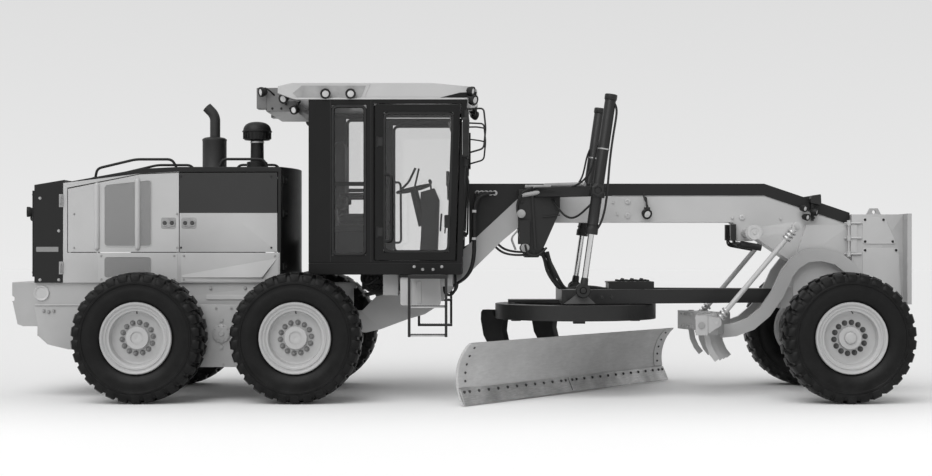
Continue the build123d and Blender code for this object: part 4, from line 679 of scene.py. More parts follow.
# finish: its nodes, each with the corner radius in metres
nodeFinishes = {
    frameEnamel: {"rear_frame": 0.006, "rear_bumper": 0.006, "push_block": 0.006,
                  "scarifier_frame": 0.008},
    caseEnamel: {"tandem_cases": 0.012},
    darkIron: {"engine": 0.01, "tie_swivel": 0.002},
    hoodEnamel: {"hood_shell": 0.006},
    lightEnamel: {"hood_door_rear_right": 0.004, "hood_door_rear_left": 0.004,
                  "scarifier_rocker": 0.005, "scarifier_links": 0.003},
    frontDoorEnamel: {"hood_door_front_right": 0.004, "hood_door_front_left": 0.004},
    darkEnamel: {"rear_grille_door": 0.005},
    boomEnamel: {"main_frame": 0.006},
    cabEnamel: {"cab_base": 0.005, "cab_frame": 0.006, "cab_door_right": 0.006,
                "cab_door_left": 0.006},
    roofEnamel: {"cab_roof": 0.02},
    blackPlastic: {"seat_pedestal": 0.01, "control_console": 0.012, "mirrors": 0.006},
    linkageEnamel: {
        "access_ladders": 0.004, "blade_saddle": 0.008, "lift_cylinder_barrels": 0.004,
        "drawbar": 0.006, "circle": 0.008, "blade_carrier": 0.005, "shift_cylinder_barrel": 0.003,
        "front_axle": 0.01, "lean_yoke_right": 0.004, "lean_yoke_left": 0.004,
        "knuckle_right": 0.004, "knuckle_left": 0.004, "lean_bar": 0.003, "tie_rod": 0.002},
    bladeSteel: {"moldboard": 0.002},
    edgeSteel: {"cutting_edge": 0.003},
    rodChrome: {"shift_cylinder_rod": 0.001},
}
for finish, edges in nodeFinishes.items():
    for nodeName, edge in edges.items():
        roundedCopy(nodeName, finish, edge)
nodes["cab_glass"].data.materials.clear()
nodes["cab_glass"].data.materials.append(paneGlass)
print("frame's nodes dressed")


wheel = {
    "middle": 1.045, "axleHeight": 0.64,
    "lugsPerSide": 30,          # staggered by half a step from side to side
    "tyreSteps": 150, "rimSteps": 72,
    "nutCircle": 0.152, "nuts": 14,
}
# outer half of the carcass: (out from the wheel's middle, radius)
tyreSection = [
    (0.147, 0.318), (0.174, 0.33), (0.174, 0.356), (0.19, 0.372), (0.205, 0.398), (0.216, 0.43),
    (0.2205, 0.455), (0.215, 0.482), (0.211, 0.508), (0.213, 0.519), (0.2212, 0.526),
    (0.2212, 0.537), (0.213, 0.544), (0.209, 0.565), (0.199, 0.59), (0.182, 0.606),
    (0.15, 0.6115), (0.09, 0.613), (0.03, 0.6135)]
tyreInside = [(-0.14, 0.33), (-0.165, 0.48), (-0.14, 0.575), (0.14, 0.575), (0.165, 0.48),
              (0.14, 0.33)]
# one lug across the tread: (out, radius of the foot, outward lean of the top in degrees, swing,
# width, height)
lugLadder = [
    (-0.006, 0.611, 90, 0.034, 0.046, 0.0265), (0.03, 0.611, 90, 0.03, 0.062, 0.0285),
    (0.08, 0.611, 89, 0.012, 0.08, 0.0285), (0.12, 0.61, 87, 0, 0.086, 0.0285),
    (0.16, 0.607, 80, 0, 0.09, 0.029), (0.187, 0.598, 58, 0, 0.092, 0.024),
    (0.203, 0.578, 25, 0, 0.088, 0.012), (0.2105, 0.556, 10, 0, 0.078, 0.004)]
# the rim all round: outer side from the bead seat in to the hub, the bore, then the inner side
rimSection = [
    (0.1745, 0.3175), (0.1745, 0.3495), (0.179, 0.3515), (0.19, 0.35), (0.1985, 0.344),
    (0.199, 0.334), (0.193, 0.325), (0.183, 0.32), (0.178, 0.313), (0.18, 0.306), (0.186, 0.302),
    (0.185, 0.296), (0.178, 0.29), (0.17, 0.284), (0.167, 0.276), (0.1665, 0.266), (0.163, 0.262),
    (0.156, 0.2605), (0.101, 0.257), (0.09, 0.252), (0.085, 0.242), (0.083, 0.225),
    (0.084, 0.195), (0.084, 0.115), (0.12, 0.113), (0.128, 0.108),
    (0.128, 0.064), (-0.1, 0.064),
    (-0.1, 0.106), (-0.1, 0.26), (-0.19, 0.3), (-0.199, 0.336), (-0.19, 0.35), (-0.176, 0.35),
    (-0.1745, 0.3175)]


# The carcass section spun once round, closed on the inside by the rim's seat.
def tyreShape(axle, side):
    outer = np.array(tyreSection)
    section = np.vstack([outer, (outer * (-1, 1))[::-1], tyreInside])
    return turned(section * (side, 1), axle, (0, 1, 0), wheel["tyreSteps"], closed=True)


# Tread lugs. Each is a ladder of cross sections that follows the crown out over the shoulder and
# down the sidewall: foot, top, top and foot across its width. Both sides' lugs turn round the
# axle, one side half a step behind.
def treadShape(axle):
    out, foot, lean, swing, width, height = np.array(lugLadder).T
    rise = np.radians(lean)
    topOut = out + height * np.cos(rise)
    topRadius = np.minimum(foot + height * np.sin(rise), wheel["axleHeight"] - 0.0004)
    pieces = []
    for side, late in ((-1, 0), (1, 0.5)):
        rings = []
        for share, high in [(-0.62, 0), (-0.44, 1), (0.44, 1), (0.62, 0)]:
            o, r = (topOut, topRadius) if high else (out, foot - 0.004)
            turn = (swing + share * width) / 0.62
            rings.append(np.column_stack([r * np.sin(turn), side * o, r * np.cos(turn)]))
        step = 2 * math.pi / wheel["lugsPerSide"]
        pieces.append(turnedCopies(skin(np.array(rings).transpose(1, 0, 2)), np.zeros(3), 2, 0,
                                   step * (np.arange(wheel["lugsPerSide"]) + late)))
    return copies(joined(*pieces), [axle])


# Places on a circle about the axle, out from the wheel's middle.
def roundAxle(axle, out, radius, angles):
    return [axle + np.array([radius * math.cos(a), out, radius * math.sin(a)]) for a in angles]


# Hub: a stepped cap with its own small bolts; the driven ones are flatter and wider.
def hubShape(axle, side, driven):
    wide = 0.104 if driven else 0.086
    middle = [(0.118, 0.016), (0.116, 0.012), (0.116, 0)] if driven else [
        (0.126, 0.058), (0.144, 0.054), (0.15, 0.044), (0.15, 0)]
    section = np.array([(0.075, 0), (0.075, wide + 0.012), (0.102, wide + 0.012), (0.108, wide),
                        (0.114, wide), (0.118, wide - 0.006), *middle])
    small = bolts(0.012 if driven else 0.016, (0, side, 0),
                  roundAxle(axle, side * 0.117, 0.07, evenly(2 if driven else 8, 0.4)))
    return joined(turned(section * (side, 1), axle, (0, 1, 0), 40), small)


def nutShape(axle, side):
    spots = roundAxle(axle, side * 0.083, wheel["nutCircle"], evenly(wheel["nuts"], 0.1))
    stud = turned([(0, 0.0105), (0.04, 0.0105), (0.044, 0.008), (0.044, 0)], (0, 0, 0),
                  (0, side, 0), 10)
    return joined(bolts(0.041, (0, side, 0), spots), copies(stud, spots))


for place in ("front", "middle", "rear"):
    for hand, side in zip(hands, (-1, 1)):
        word, driven = place + "_" + hand, place != "front"
        low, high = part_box("rim_" + word)
        axle = np.array([(low.x + high.x) / 2, side * wheel["middle"], wheel["axleHeight"]])
        body = "wheel_" + word
        carcass = joined(tyreShape(axle, side), treadShape(axle))
        piece = makePiece(camel("tyre_" + word), carcass, body, tyreBlack, creases=30)
        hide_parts("tyre_" + word)
        rimShape = turned(np.array(rimSection) * (side, 1), axle, (0, 1, 0), wheel["rimSteps"],
                          closed=True)
        piece = makePiece(camel("rim_" + word), rimShape, body, rimEnamel)
        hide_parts("rim_" + word)
        makePiece(camel("hub_" + word), hubShape(axle, side, driven), body, rimEnamel)
        makePiece(camel("wheel_nuts_" + word), nutShape(axle, side), body,
                  paintedNut if driven else nutIron)
        valve = tube([axle + (0, side * 0.12, 0.268), axle + (0.004, side * 0.15, 0.262),
                      axle + (0.012, side * 0.172, 0.24)], 0.02, 0.0065)
        makePiece(camel("valve_" + word), valve, body, blackPlastic)
print("wheels made")


hood = {
    "side": -0.58,                      # outer plane of the right doors
    "ribs": [(-3.694, 2.18), (-3.283, 2.228)],      # station and top of each upright rib
    "ribFoot": 1.492, "ribRadius": 0.029,
    "grille": ((-3.381, 1.869), 0.475, 0.672, 0.035), "grilleSlope": 0.108,
    "lowerGrille": ((-3.381, 1.322), 0.475, 0.212, 0.03),
    "handles": {"rear": (-2.971, 1.768), "front": (-2.765, 1.768)},
    "doorBolts": {"rear": [(-3.925, 1.52), (-3.925, 1.86), (-2.885, 1.52), (-2.885, 1.86)],
                  "front": [(-2.845, 1.52), (-2.845, 2.24), (-1.932, 1.52), (-1.932, 2.24)]},
    "railRadius": 0.0135,
    "rails": [
        [(-3.73, 2.235), (-3.712, 2.325), (-3.32, 2.418), (-2.95, 2.418), (-2.905, 2.33)],
        [(-2.47, 2.33), (-2.44, 2.42), (-2.02, 2.42), (-1.985, 2.33)]],
    "coolingBolts": [(-4.08, 1.69), (-4.08, 1.195), (-4.27, 1.195), (-4.27, 2.02)],
}
side = hood["side"]


# An upright half-round rib: a circle carried up the panel, closing to a point at each end.
def ribShape(x, top):
    reach = np.array([0, 0.008, 0.022, 0.045, 0.5, 0.955, 0.978, 0.992, 1])
    radius = hood["ribRadius"] * np.array([0.15, 0.6, 0.88, 1, 1, 1, 0.88, 0.6, 0.15])
    path = [(x, side + 0.004, hood["ribFoot"] + (top - hood["ribFoot"]) * r) for r in reach]
    return carried(path, radius, 16)


# The two round parts of a latch's locks.
def lockPair(x, z, profile, depth, sides, closed=False):
    return joined(*[turned(profile, (x + s, side - depth, z), rightward, sides, closed)
                    for s in (-0.036, 0.036)])


# A flush twin latch: a dished plate, two round locks and the paddle between them.
def latchShape(x, z):
    cup = plate(softRectangle((x, z), 0.15, 0.112, 0.018), "y", side - 0.004, side + 0.002)
    rings = lockPair(x, z, [(0, 0.022), (0, 0.034), (0.006, 0.034), (0.009, 0.03), (0.006, 0.022)],
                     0.003, 24, True)
    paddle = plate(softRectangle((x, z), 0.03, 0.09, 0.008), "y", side - 0.01, side - 0.003)
    return joined(cup, rings, paddle)


# The grille's window follows the roof line: its upper half leans.
grilleOutline = softRectangle(*hood["grille"], steps=6)
grilleOutline[:, 1] += (grilleOutline[:, 1] > hood["grille"][0][1]) \
    * hood["grilleSlope"] * (grilleOutline[:, 0] + 3.144)
rearDoorTrim = joined(*[ribShape(*rib) for rib in hood["ribs"]],
                      beadShape(grilleOutline, side - 0.002, 0.0045))
rearDoorGrille = plate(grilleOutline, "y", side - 0.002, side + 0.002)
barrel = [(0, 0), (0, 0.022), (0.003, 0.022), (0.003, 0.012), (0.007, 0.01), (0.007, 0)]
for hand, flip in zip(hands, (joined, mirrored)):
    rearDoor = "hood_door_rear_" + hand
    makePiece("hoodRibs_" + hand, flip(rearDoorTrim), rearDoor, lightEnamel)
    makePiece("hoodGrille_" + hand, flip(rearDoorGrille), rearDoor, grilleSheet)
    for place, boltFinish in (("rear", paleIron), ("front", blackBolt)):
        x, z = hood["handles"][place]
        for name, shape, finish, edge in [
                ("Latch_", latchShape(x, z), paleIron, 0.002),
                ("Locks_", lockPair(x, z, barrel, 0.004, 20), nutIron, 0),
                ("Bolts_", sideBolts(0.016, side, hood["doorBolts"][place]), boltFinish, 0)]:
            makePiece(place + "Door" + name + hand, flip(shape), "hood_door_" + place + "_" + hand,
                      finish, edge)


# Bolted panels below the doors: a flat one round the lower grille, and one pressed into a wedge
# whose crease rises forward.
def sidePanelShape():
    flats = [plate(softRectangle((x, 1.318), long, 0.286, 0.006), "y", side - 0.003, side + 0.002)
             for x, long in ((-3.28, 0.8), (-2.35, 0.985))]
    bead = beadShape(softRectangle(*hood["lowerGrille"], steps=6), side - 0.004, 0.004)
    crease = np.array([
        (-2.835, side - 0.002, 1.25), (-2.835, side - 0.005, 1.218), (-2.835, side, 1.205),
        (-1.868, side - 0.002, 1.418), (-2.02, side - 0.034, 1.222), (-2.02, side, 1.205)])
    wedge = (crease, [[0, 1, 4, 3], [1, 2, 5, 4], [0, 3, 5, 2], [0, 2, 1], [3, 4, 5]])
    return joined(*flats, bead, wedge)


def handrails():
    rails = []
    for line in hood["rails"]:
        rails.append(tube([(x, -0.5, z) for x, z in line], 0.05, hood["railRadius"], 12))
        for x, z in (line[0], line[-1]):
            rails.append(turned([(-0.012, 0), (-0.012, 0.032), (0, 0.032), (0.004, 0.02),
                                 (0.004, 0)], (x, -0.5, z), upward, 16))
    return joined(*rails)


# Hinge strap with its pull handle; the cooling section has one above the other.
coolingLatch = joined(
    block((-4.075, side - 0.012, 1.25), (-4.035, side + 0.001, 1.38)),
    tube([(-4.055, side - 0.01, 1.365), (-4.055, side - 0.034, 1.35),
          (-4.055, side - 0.034, 1.285), (-4.055, side - 0.01, 1.27)], 0.02, 0.006))
# Hinge blocks on the nose's corner, set out along the corner's face and square to it.
noseSpot, along, out = np.array([(-1.808, -0.518), (0.46, 0.888), (0.888, -0.46)])
noseOutline = [noseSpot + along * a + out * b
               for a, b in ((-0.035, -0.004), (0.035, -0.004), (0.035, 0.02), (-0.035, 0.02))]
noseHinges = joined(*[joined(
    plate(noseOutline, "z", z - 0.036, z + 0.036),
    bolts(0.02, (*out, 0), [(*(noseSpot + out * 0.02), z)])) for z in (1.329, 1.864, 2.208)])
makePiece("hoodSidePanels", bothSides(sidePanelShape()), "rear_chassis", lightEnamel, 0.0015,
          creases=20)
addPairs("rear_chassis", [
    ("hoodLowerGrilles",
     plate(softRectangle(*hood["lowerGrille"], steps=6), "y", side - 0.005, side), grilleSheet),
    ("hoodPanelBolts", sideBolts(0.018, side - 0.003, [
        (x, z) for x in (-3.65, -2.912, -2.815, -1.895) for z in (1.2, 1.438)]), paleIron),
    ("hoodHandrails", handrails(), darkEnamel),
    ("coolingLatches", copies(coolingLatch, [(0, 0, 0.68), (0, 0, 0)]), paleIron, 0.002),
    ("coolingBolts", sideBolts(0.022, side, hood["coolingBolts"]), zincBolt),
    ("markerStrips",
     plate(softRectangle((-4.195, 1.503), 0.225, 0.05, 0.006), "y", side - 0.005, side),
     greyStrip, 0.0015),
    ("noseHinges", noseHinges, blackPlastic, 0.004),
    ("rearLampArms", tube([(-4.322, -0.47, 1.8), (-4.392, -0.47, 1.8), (-4.392, -0.47, 1.87)],
                          0.02, 0.011), blackBolt),
])


# Work lamps (centre, direction, radius) on both sides: housings, and apart from them the lenses.
def addLamps(name, body, lamps):
    housings, lenses = [], []
    for centre, direction, r in lamps:
        housings.append(turned([
            (-0.062, 0), (-0.062, r * 0.45), (-0.05, r * 0.75), (-0.012, r), (0.01, r),
            (0.012, r * 0.92), (0.01, r * 0.68), (0.002, r * 0.66), (0.002, 0)],
            centre, direction, 28))
        lenses.append(turned([
            (0.0025, 0), (0.0025, r * 0.64), (0.006, r * 0.64), (0.009, r * 0.4), (0.01, 0)],
            centre, direction, 28))
    addPairs(body, [(name + "Housings", joined(*housings), blackPlastic, 0.0015),
                    (name + "Lenses", joined(*lenses), lampFace)])


addLamps("rearLamp", "rear_chassis", [((-4.425, -0.47, 1.885), (-1, -0.25, 0), 0.052)])

# Rear grille door: louvre blades in the opening, a frame bead, a latch and screws.
louvre = plate([(-4.372, 0), (-4.346, 0.012), (-4.344, 0.009), (-4.37, -0.003)], "y", -0.405, 0.405)
makePiece("grilleLouvres", copies(louvre, [(0, 0, z) for z in np.arange(1.335, 2, 0.03)]),
          "rear_grille_door", darkEnamel)
grilleTrim = joined(
    *[carried([(-4.3715, y, 1.24), (-4.3715, y, 2.085)], 0.01, 8) for y in (-0.425, 0.425)],
    block((-4.374, -0.485, 1.62), (-4.368, -0.445, 1.74)),
    bolts(0.02, (-1, 0, 0), [(-4.37, y, z) for y in (-0.47, 0.47) for z in (1.27, 2.06)]))
makePiece("grilleDoorTrim", grilleTrim, "rear_grille_door", blackBolt)

# Exhaust: a seamed canister and a bent pipe, its end capped, with a black disc on the cap for the
# open mouth.
exhaust = {"canister": (-2.61, 0, 2.3375), "pipe": (-2.604, 2.682), "pipeRadius": 0.053,
           "bow": 0.14, "bend": 45}
canister = turned([
    (0, 0), (0, 0.125), (0.01, 0.129), (0.018, 0.125), (0.3, 0.125), (0.312, 0.129),
    (0.322, 0.126), (0.336, 0.105), (0.344, 0.062), (0.344, 0)], exhaust["canister"], upward, 48)
x, z = exhaust["pipe"]
turn, bow = np.radians(np.linspace(0, exhaust["bend"], 9)), exhaust["bow"]
bend = np.column_stack([x - bow + bow * np.cos(turn), 0 * turn, z + 0.168 + bow * np.sin(turn)])
pipeEnd = bend[-1] + (-0.046, 0, 0.046)
centreLine = np.vstack([[(x, 0, z - 0.02), (x, 0, z + 0.15)], bend, [pipeEnd]])
pipeOut = carried(centreLine, exhaust["pipeRadius"], 32)
piece = makePiece("exhaustStack", joined(canister, pipeOut), "rear_chassis", darkIron)
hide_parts("exhaust_stack")
# the mouth's black disc: soot and painted shade inside the open pipe
makePiece("exhaustMouth", disc(0.0475, 0.0008, pipeEnd, pipeEnd - centreLine[-2], 32),
          "rear_chassis", blackPlastic, slotName="cast_metal")

# Air precleaner: base, neck with a clamp, and a ribbed bowl whose lid overhangs.
cleaner = np.array([-2.163, 0, 0])
bowl = turned([
    (0, 0), (0, 0.108), (0.078, 0.108), (0.084, 0.1), (0.088, 0.07), (0.308, 0.067),
    (0.312, 0.128), (0.316, 0.134), (0.392, 0.144), (0.396, 0.155), (0.408, 0.155),
    (0.412, 0.147), (0.436, 0.142), (0.458, 0.131), (0.476, 0.115), (0.49, 0.092),
    (0.499, 0.062), (0.5035, 0.03), (0.5045, 0)], cleaner + (0, 0, 2.3375), upward, 56)
ribs = turnedCopies(block((-2.166, -0.148, 2.662), (-2.16, -0.134, 2.728)), cleaner, 0, 1,
                    evenly(24))
piece = makePiece("airPrecleaner", joined(bowl, ribs), "rear_chassis", blackPlastic)
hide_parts("air_precleaner")
clamp = turned([(0, 0.066), (0, 0.074), (0.016, 0.074), (0.016, 0.066)],
               cleaner + (0, 0, 2.618), upward, 40, closed=True)
makePiece("precleanerClamp", clamp, "rear_chassis", zincBolt)
print("hood made")


chassis = {
    "side": -0.55, "caseSide": -0.798,          # outer planes of the frame and the tandem case
    "frameBolts": [(-4.24, 0.88), (-4.19, 0.87), (-4.14, 0.88), (-3.55, 1.06), (-3.05, 1.06),
                   (-2.55, 1.11), (-2.2, 1.11), (-1.72, 1.06), (-1.72, 1.12), (-3.05, 1.12)],
    "caseBolts": [(-2.6, 0.905), (-2.45, 0.918), (-2.3, 0.918), (-2.16, 0.905), (-2.6, 0.375),
                  (-2.38, 0.36), (-2.16, 0.375)],
    "pivot": (-2.398, 0.664),
}
side, caseSide = chassis["side"], chassis["caseSide"]
x, z = chassis["pivot"]
addPairs("rear_chassis", [
    ("frameTrim", joined(
        plate([(-4.33, 0.935), (-3.42, 0.935), (-3.42, 0.947), (-4.33, 0.947)], "y",
              side - 0.012, side + 0.002),
        turned([(0, 0), (0, 0.075), (0.006, 0.08), (0.014, 0.074), (0.008, 0.058),
                (0.004, 0.056), (0.004, 0)], (-4.262, side - 0.001, 1.06), rightward, 32),
        plate(softRectangle((-2.383, 1.018), 0.42, 0.045, 0.01), "y", side - 0.01, side + 0.002)),
     lightEnamel, 0.0015),
    ("frameBolts", sideBolts(0.028, side - 0.001, chassis["frameBolts"]), paleIron),
    ("tandemCovers", joined(
        turned([(0, 0), (0, 0.092), (0.01, 0.092), (0.014, 0.086), (0.014, 0.03), (0.02, 0.026),
                (0.02, 0)], (x, caseSide, z), rightward, 40),
        *[disc(0.022, 0.012, (x, caseSide, high), rightward, 6) for high in (0.8, 0.532)]),
     caseEnamel),
    ("tandemBolts", joined(
        sideBolts(0.014, caseSide - 0.01, [
            (x + 0.078 * math.cos(a), z + 0.078 * math.sin(a)) for a in evenly(10)]),
        sideBolts(0.02, caseSide, chassis["caseBolts"])), paleIron),
])
low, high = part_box("rear_bumper")
midHeight = (low.z + high.z) / 2
bumperTrim = joined(
    block((low.x + 0.001, low.y + 0.002, midHeight + 0.02),
          (low.x + 0.012, high.y - 0.002, midHeight + 0.032)),
    bolts(0.036, (-1, 0, -0.21), [(low.x + 0.0425, y, low.z + 0.07)
                                  for y in (-0.36, -0.14, 0.14, 0.36)]))
makePiece("bumperTrim", bumperTrim, "rear_chassis", paleIron, 0.002)


cab = {
    "side": -0.785,                                     # plane of the right door's frame
    "frontFoot": 1.365, "frontTop": 3, "frontLean": 0.05,
    # window holes: (x, z) in the sides, (y, z) in the screens
    "doorHole": [(-0.785, 1.47), (-0.785, 2.87), (-0.0799, 2.87), (-0.1268, 1.47)],
    "sideHole": [(-1.3, 1.44), (-1.3, 2.94), (-0.955, 2.94), (-0.955, 1.44)],
    "screen": [(-0.705, 1.712), (0.705, 1.712), (0.705, 2.918), (-0.705, 2.918)],
    "rearScreen": [(-0.61, 1.572), (0.61, 1.572), (0.61, 2.908), (-0.61, 2.908)],
    "sillBolts": [(-0.478, 1.33), (-0.393, 1.302), (-0.29, 1.302), (-0.203, 1.33)],
    "leverSpots": [(-0.33, -0.11), (-0.33, -0.05), (-0.33, 0.05), (-0.33, 0.11)],
}

# Doors: pane, gasket, hinges, and outside handle with the grab bar.
doorPane = plate(roundCorners(insetOutline(cab["doorHole"], 0.004), 0.02), "y", -0.789, -0.782)
doorGasket = beadShape(roundCorners(insetOutline(cab["doorHole"], 0.01), 0.06), cab["side"], 0.016)
doorHinges = joined(*[joined(
    disc(0.009, 0.11, (-0.846, -0.8015, z), upward, 16),
    block((-0.846, -0.806, z + 0.012), (-0.79, -0.7995, z + 0.098))) for z in (1.62, 2.52)])
doorHandle = joined(
    tube([(-0.215, -0.8, 1.69), (-0.215, -0.848, 1.69), (-0.205, -0.848, 1.85),
          (-0.205, -0.8, 1.85)], 0.025, 0.009, 10),
    plate(softRectangle((-0.15, 1.78), 0.055, 0.13, 0.012), "y", -0.812, -0.799),
    tube([(-0.765, -0.797, 2.245), (-0.705, -0.845, 2.245), (-0.7, -0.845, 1.58),
          (-0.765, -0.797, 1.58)], 0.05, 0.0125, 12))
for hand, flip in zip(hands, (joined, mirrored)):
    for name, shape, finish, edge in [
            ("doorPane_", doorPane, paneGlass, 0), ("doorGasket_", doorGasket, rubberHose, 0),
            ("doorHinges_", doorHinges, blackBolt, 0.0015),
            ("doorHandle_", doorHandle, blackPlastic, 0.001)]:
        makePiece(name + hand, flip(shape), "cab_door_" + hand, finish, edge)


# Station of the cab's leaning front face at height z.
def frontAt(z):
    return cab["frontLean"] * (z - cab["frontFoot"]) / (cab["frontTop"] - cab["frontFoot"])


# Arm from the pivot to the blade's middle, the blade along the glass, and the pivot's cap.
def wiperShape(pivot, tip, lift):
    pivot, tip = np.array(pivot, float), np.array(tip, float)
    out = np.array([lift, 0, 0])
    along = (tip - pivot) / np.linalg.norm(tip - pivot)
    arm = tube([pivot, pivot + out, tip + out * 0.8, tip + out * 0.3], 0.03, 0.006)
    blade = carried([tip - along * 0.3 + out * 0.3, tip + along * 0.22 + out * 0.3], 0.007, 6)
    cap = turned([(-0.01, 0), (-0.01, 0.022), (0.02, 0.022), (0.026, 0.014), (0.026, 0)], pivot,
                 (math.copysign(1, lift), 0, 0), 16)
    return joined(arm, blade, cap)


# Gaskets round the fixed panes, pillar seams, sill screws and seals.
screenLine = roundCorners(cab["screen"], 0.06)
screenPath = np.column_stack([frontAt(screenLine[:, 1]) - 0.004, screenLine])
rearPath = np.insert(roundCorners(cab["rearScreen"], 0.06), 0, -1.527, axis=1)
makePiece("screenGaskets", joined(*[carried(path, 0.015, 8, closed=True)
                                    for path in (screenPath, rearPath)]),
          "front_chassis", rubberHose)
wipers = joined(
    *[wiperShape((frontAt(1.66), 0.36 * s, 1.66), (frontAt(2.25), 0.3 * s, 2.25), 0.035)
      for s in (-1, 1)],
    wiperShape((-1.531, 0, 2.945), (-1.531, 0.12, 2.35), -0.035))
makePiece("wipers", wipers, "front_chassis", blackBolt, slotName="cab_plastic")
sideGasket = beadShape(roundCorners(insetOutline(cab["sideHole"], 0.012), 0.05), -0.79, 0.017)
addPairs("front_chassis", [
    ("sideGaskets", joined(sideGasket, block((-1.296, -0.792, 2.135), (-0.958, -0.766, 2.175))),
     rubberHose),
    ("pillarSeams", copies(block((-0.912, -0.7995, 1.375), (-0.906, -0.7945, 2.99)),
                           [(0, 0, 0), (-0.403, 0, 0)]), blackBolt, 0, "dark_paint"),
    ("hingeSeals", block((-0.882, -0.75, 1.4), (-0.85, -0.742, 2.94)), rubberHose),
    ("sillBolts", sideBolts(0.022, -0.796, cab["sillBolts"]), zincBolt),
])

# Roof: drip rail, visor crease, side lamps in their recess, climate unit with louvres, aerial.
low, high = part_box("cab_roof")
lampArms = [
    [(-1.9, -0.585, 3.06), (-1.94, -0.65, 3.1), (-1.99, -0.655, 3.13), (-2, -0.65, 3.08)],
    [(-1.78, -0.58, 2.97), (-1.775, -0.64, 2.96), (-1.775, -0.65, 3)],
    [(-1.64, -0.58, 2.99), (-1.64, -0.67, 2.98), (-1.665, -0.67, 2.91)],
    [(0.05, -0.77, 3.05), (0.06, -0.83, 3.06), (0.09, -0.84, 3.08)],
    [(0.05, -0.77, 3.03), (0.06, -0.835, 3.02), (0.1, -0.84, 3)],
    [(0.065, -0.5, 3.06), (0.085, -0.5, 3.075), (0.1, -0.5, 3.03)]]
mirrorGuard = joined(
    tube([(0.05, -0.8, 2.9), (0.215, -0.88, 2.9), (0.235, -0.9, 2.7), (0.215, -0.9, 2.5),
          (0.06, -0.9, 2.455)], 0.04, 0.009, 10),
    tube([(0.06, -0.8, 2.72), (0.15, -0.88, 2.715), (0.23, -0.895, 2.7)], 0.03, 0.008, 10))
addPairs("front_chassis", [
    ("roofTrim", joined(
        carried([(x, -0.79, 3.004) for x in (-1.665, -0.3, 0.075)], 0.01, 8),
        plate([(-0.995, 3.008), (-0.93, 3.158), (-0.915, 3.158), (-0.98, 3.008)], "y",
              -0.786, -0.779)), roofEnamel),
    ("roofBand", plate([(-1.64, 3.012), (-1.69, 3.06), (-1.6, 3.135), (-0.96, 3.135),
                        (-1.01, 3.012)], "y", -0.7835, -0.779), paleIron, 0.0015, "light_paint"),
    # painted shade: a dark plate on the roof's lower front side stands for the shade under the
    # visor
    ("roofNose", plate([(-0.26, 3.006), (high.x - 0.012, 3.006), (high.x - 0.006, 3.072),
                        (-0.02, 3.066)], "y", low.y - 0.002, low.y + 0.002), cabEnamel),
    ("lampArms", joined(*[tube(line, 0.02, 0.009) for line in lampArms]), blackBolt),
    ("mirrorFaces", plate(softRectangle((-0.955, 2.6), 0.15, 0.36, 0.03), "x", 0.0055, 0.0085),
     mirrorGlass),
    ("mirrorGuards", mirrorGuard, blackBolt),
])
addLamps("roofLamp", "front_chassis", [((-1.359, -0.828, 3.05), (0.25, -1, -0.25), 0.052),
                                       ((-1.109, -0.828, 3.05), (0.15, -1, -0.25), 0.052)])
addLamps("rearRoofLamp", "front_chassis", [((-2.025, -0.655, 3.085), (-1, -0.7, -0.2), 0.05),
                                           ((-1.8, -0.665, 3.015), (-0.5, -1, -0.4), 0.05),
                                           ((-1.69, -0.69, 2.9), (-0.7, -1, -0.2), 0.046)])
addLamps("frontRoofLamp", "front_chassis", [((0.105, -0.845, 3.075), (1, -0.5, -0.2), 0.044),
                                            ((0.125, -0.845, 2.985), (1, -0.7, -0.3), 0.05),
                                            ((0.12, -0.5, 3.01), (1, 0, -0.2), 0.05)])
climate = joined(
    copies(block((-1.984, -0.4, 2.925), (-1.976, 0.4, 2.937)),
           [(0, 0, z) for z in np.arange(0, 0.19, 0.026)]),
    bolts(0.018, (-1, 0, 0), [(-1.98, y, z) for y in (-0.55, -0.43, 0.43, 0.55)
                              for z in (2.915, 3.115)]),
    sideBolts(0.018, -0.59, [(x, 2.925) for x in (-1.92, -1.83, -1.74)]))

# Inside: levers, armrests, monitor, visor and a floor mat.
levers = joined(
    tube([(-0.47, -0.23, 1.96), (-0.5, -0.235, 2.14), (-0.455, -0.235, 2.34)], 0.03, 0.01),
    tube([(-0.64, -0.235, 2.12), (-0.56, -0.235, 2.2), (-0.49, -0.235, 2.345)], 0.03, 0.012),
    *[joined(carried([(x, y, 2.08), (x - 0.015, y, 2.2)], (0.007, 0.006), 8),
             turned([(0, 0), (0.004, 0.012), (0.02, 0.017), (0.036, 0.012), (0.042, 0)],
                    (x - 0.015, y, 2.195), (-0.1, 0, 1), 14)) for x, y in cab["leverSpots"]])
monitor = joined(plate(softRectangle((-0.1, 2.24), 0.2, 0.15, 0.015), "x", -0.175, -0.145),
                 carried([(-0.155, -0.1, 2.02), (-0.158, -0.1, 2.2)], 0.012, 8))
armrests = joined(
    *[plate(softRectangle((-1.08, y), 0.38, 0.075, 0.03), "z", 2.035, 2.085)
      for y in (-0.305, 0.305)],
    *[block((-1.24, y - 0.02, 1.98), (-1.2, y + 0.02, 2.04)) for y in (-0.29, 0.29)])
visor = plate([(-0.15, 2.79), (-0.06, 2.91), (-0.052, 2.905), (-0.142, 2.785)], "y", -0.62, 0.62)
matRidges = copies(block((-0.87, -0.7, 1.366), (-0.475, -0.692, 1.371)),
                   [(0, y, 0) for y in np.arange(0, 1.4, 0.035)])
aerial = carried([(-1.66, 0.3, 3.12), (-1.66, 0.3, 3.161)], (0.006, 0.003), 8)
for name, shape, finish, edge, slotName in [
        ("climateLouvres", climate, blackBolt, 0, "dark_paint"),
        ("aerial", aerial, blackBolt, 0, "cab_plastic"),
        ("controlLevers", levers, blackPlastic, 0, None),
        ("armrests", armrests, blackPlastic, 0.012, None),
        ("monitor", monitor, greyPlastic, 0.004, None),
        ("sunVisor", visor, blackPlastic, 0.002, None),
        ("floorMat", matRidges, rubberHose, 0, None)]:
    makePiece(name, shape, "front_chassis", finish, edge, slotName)
print("cab made")


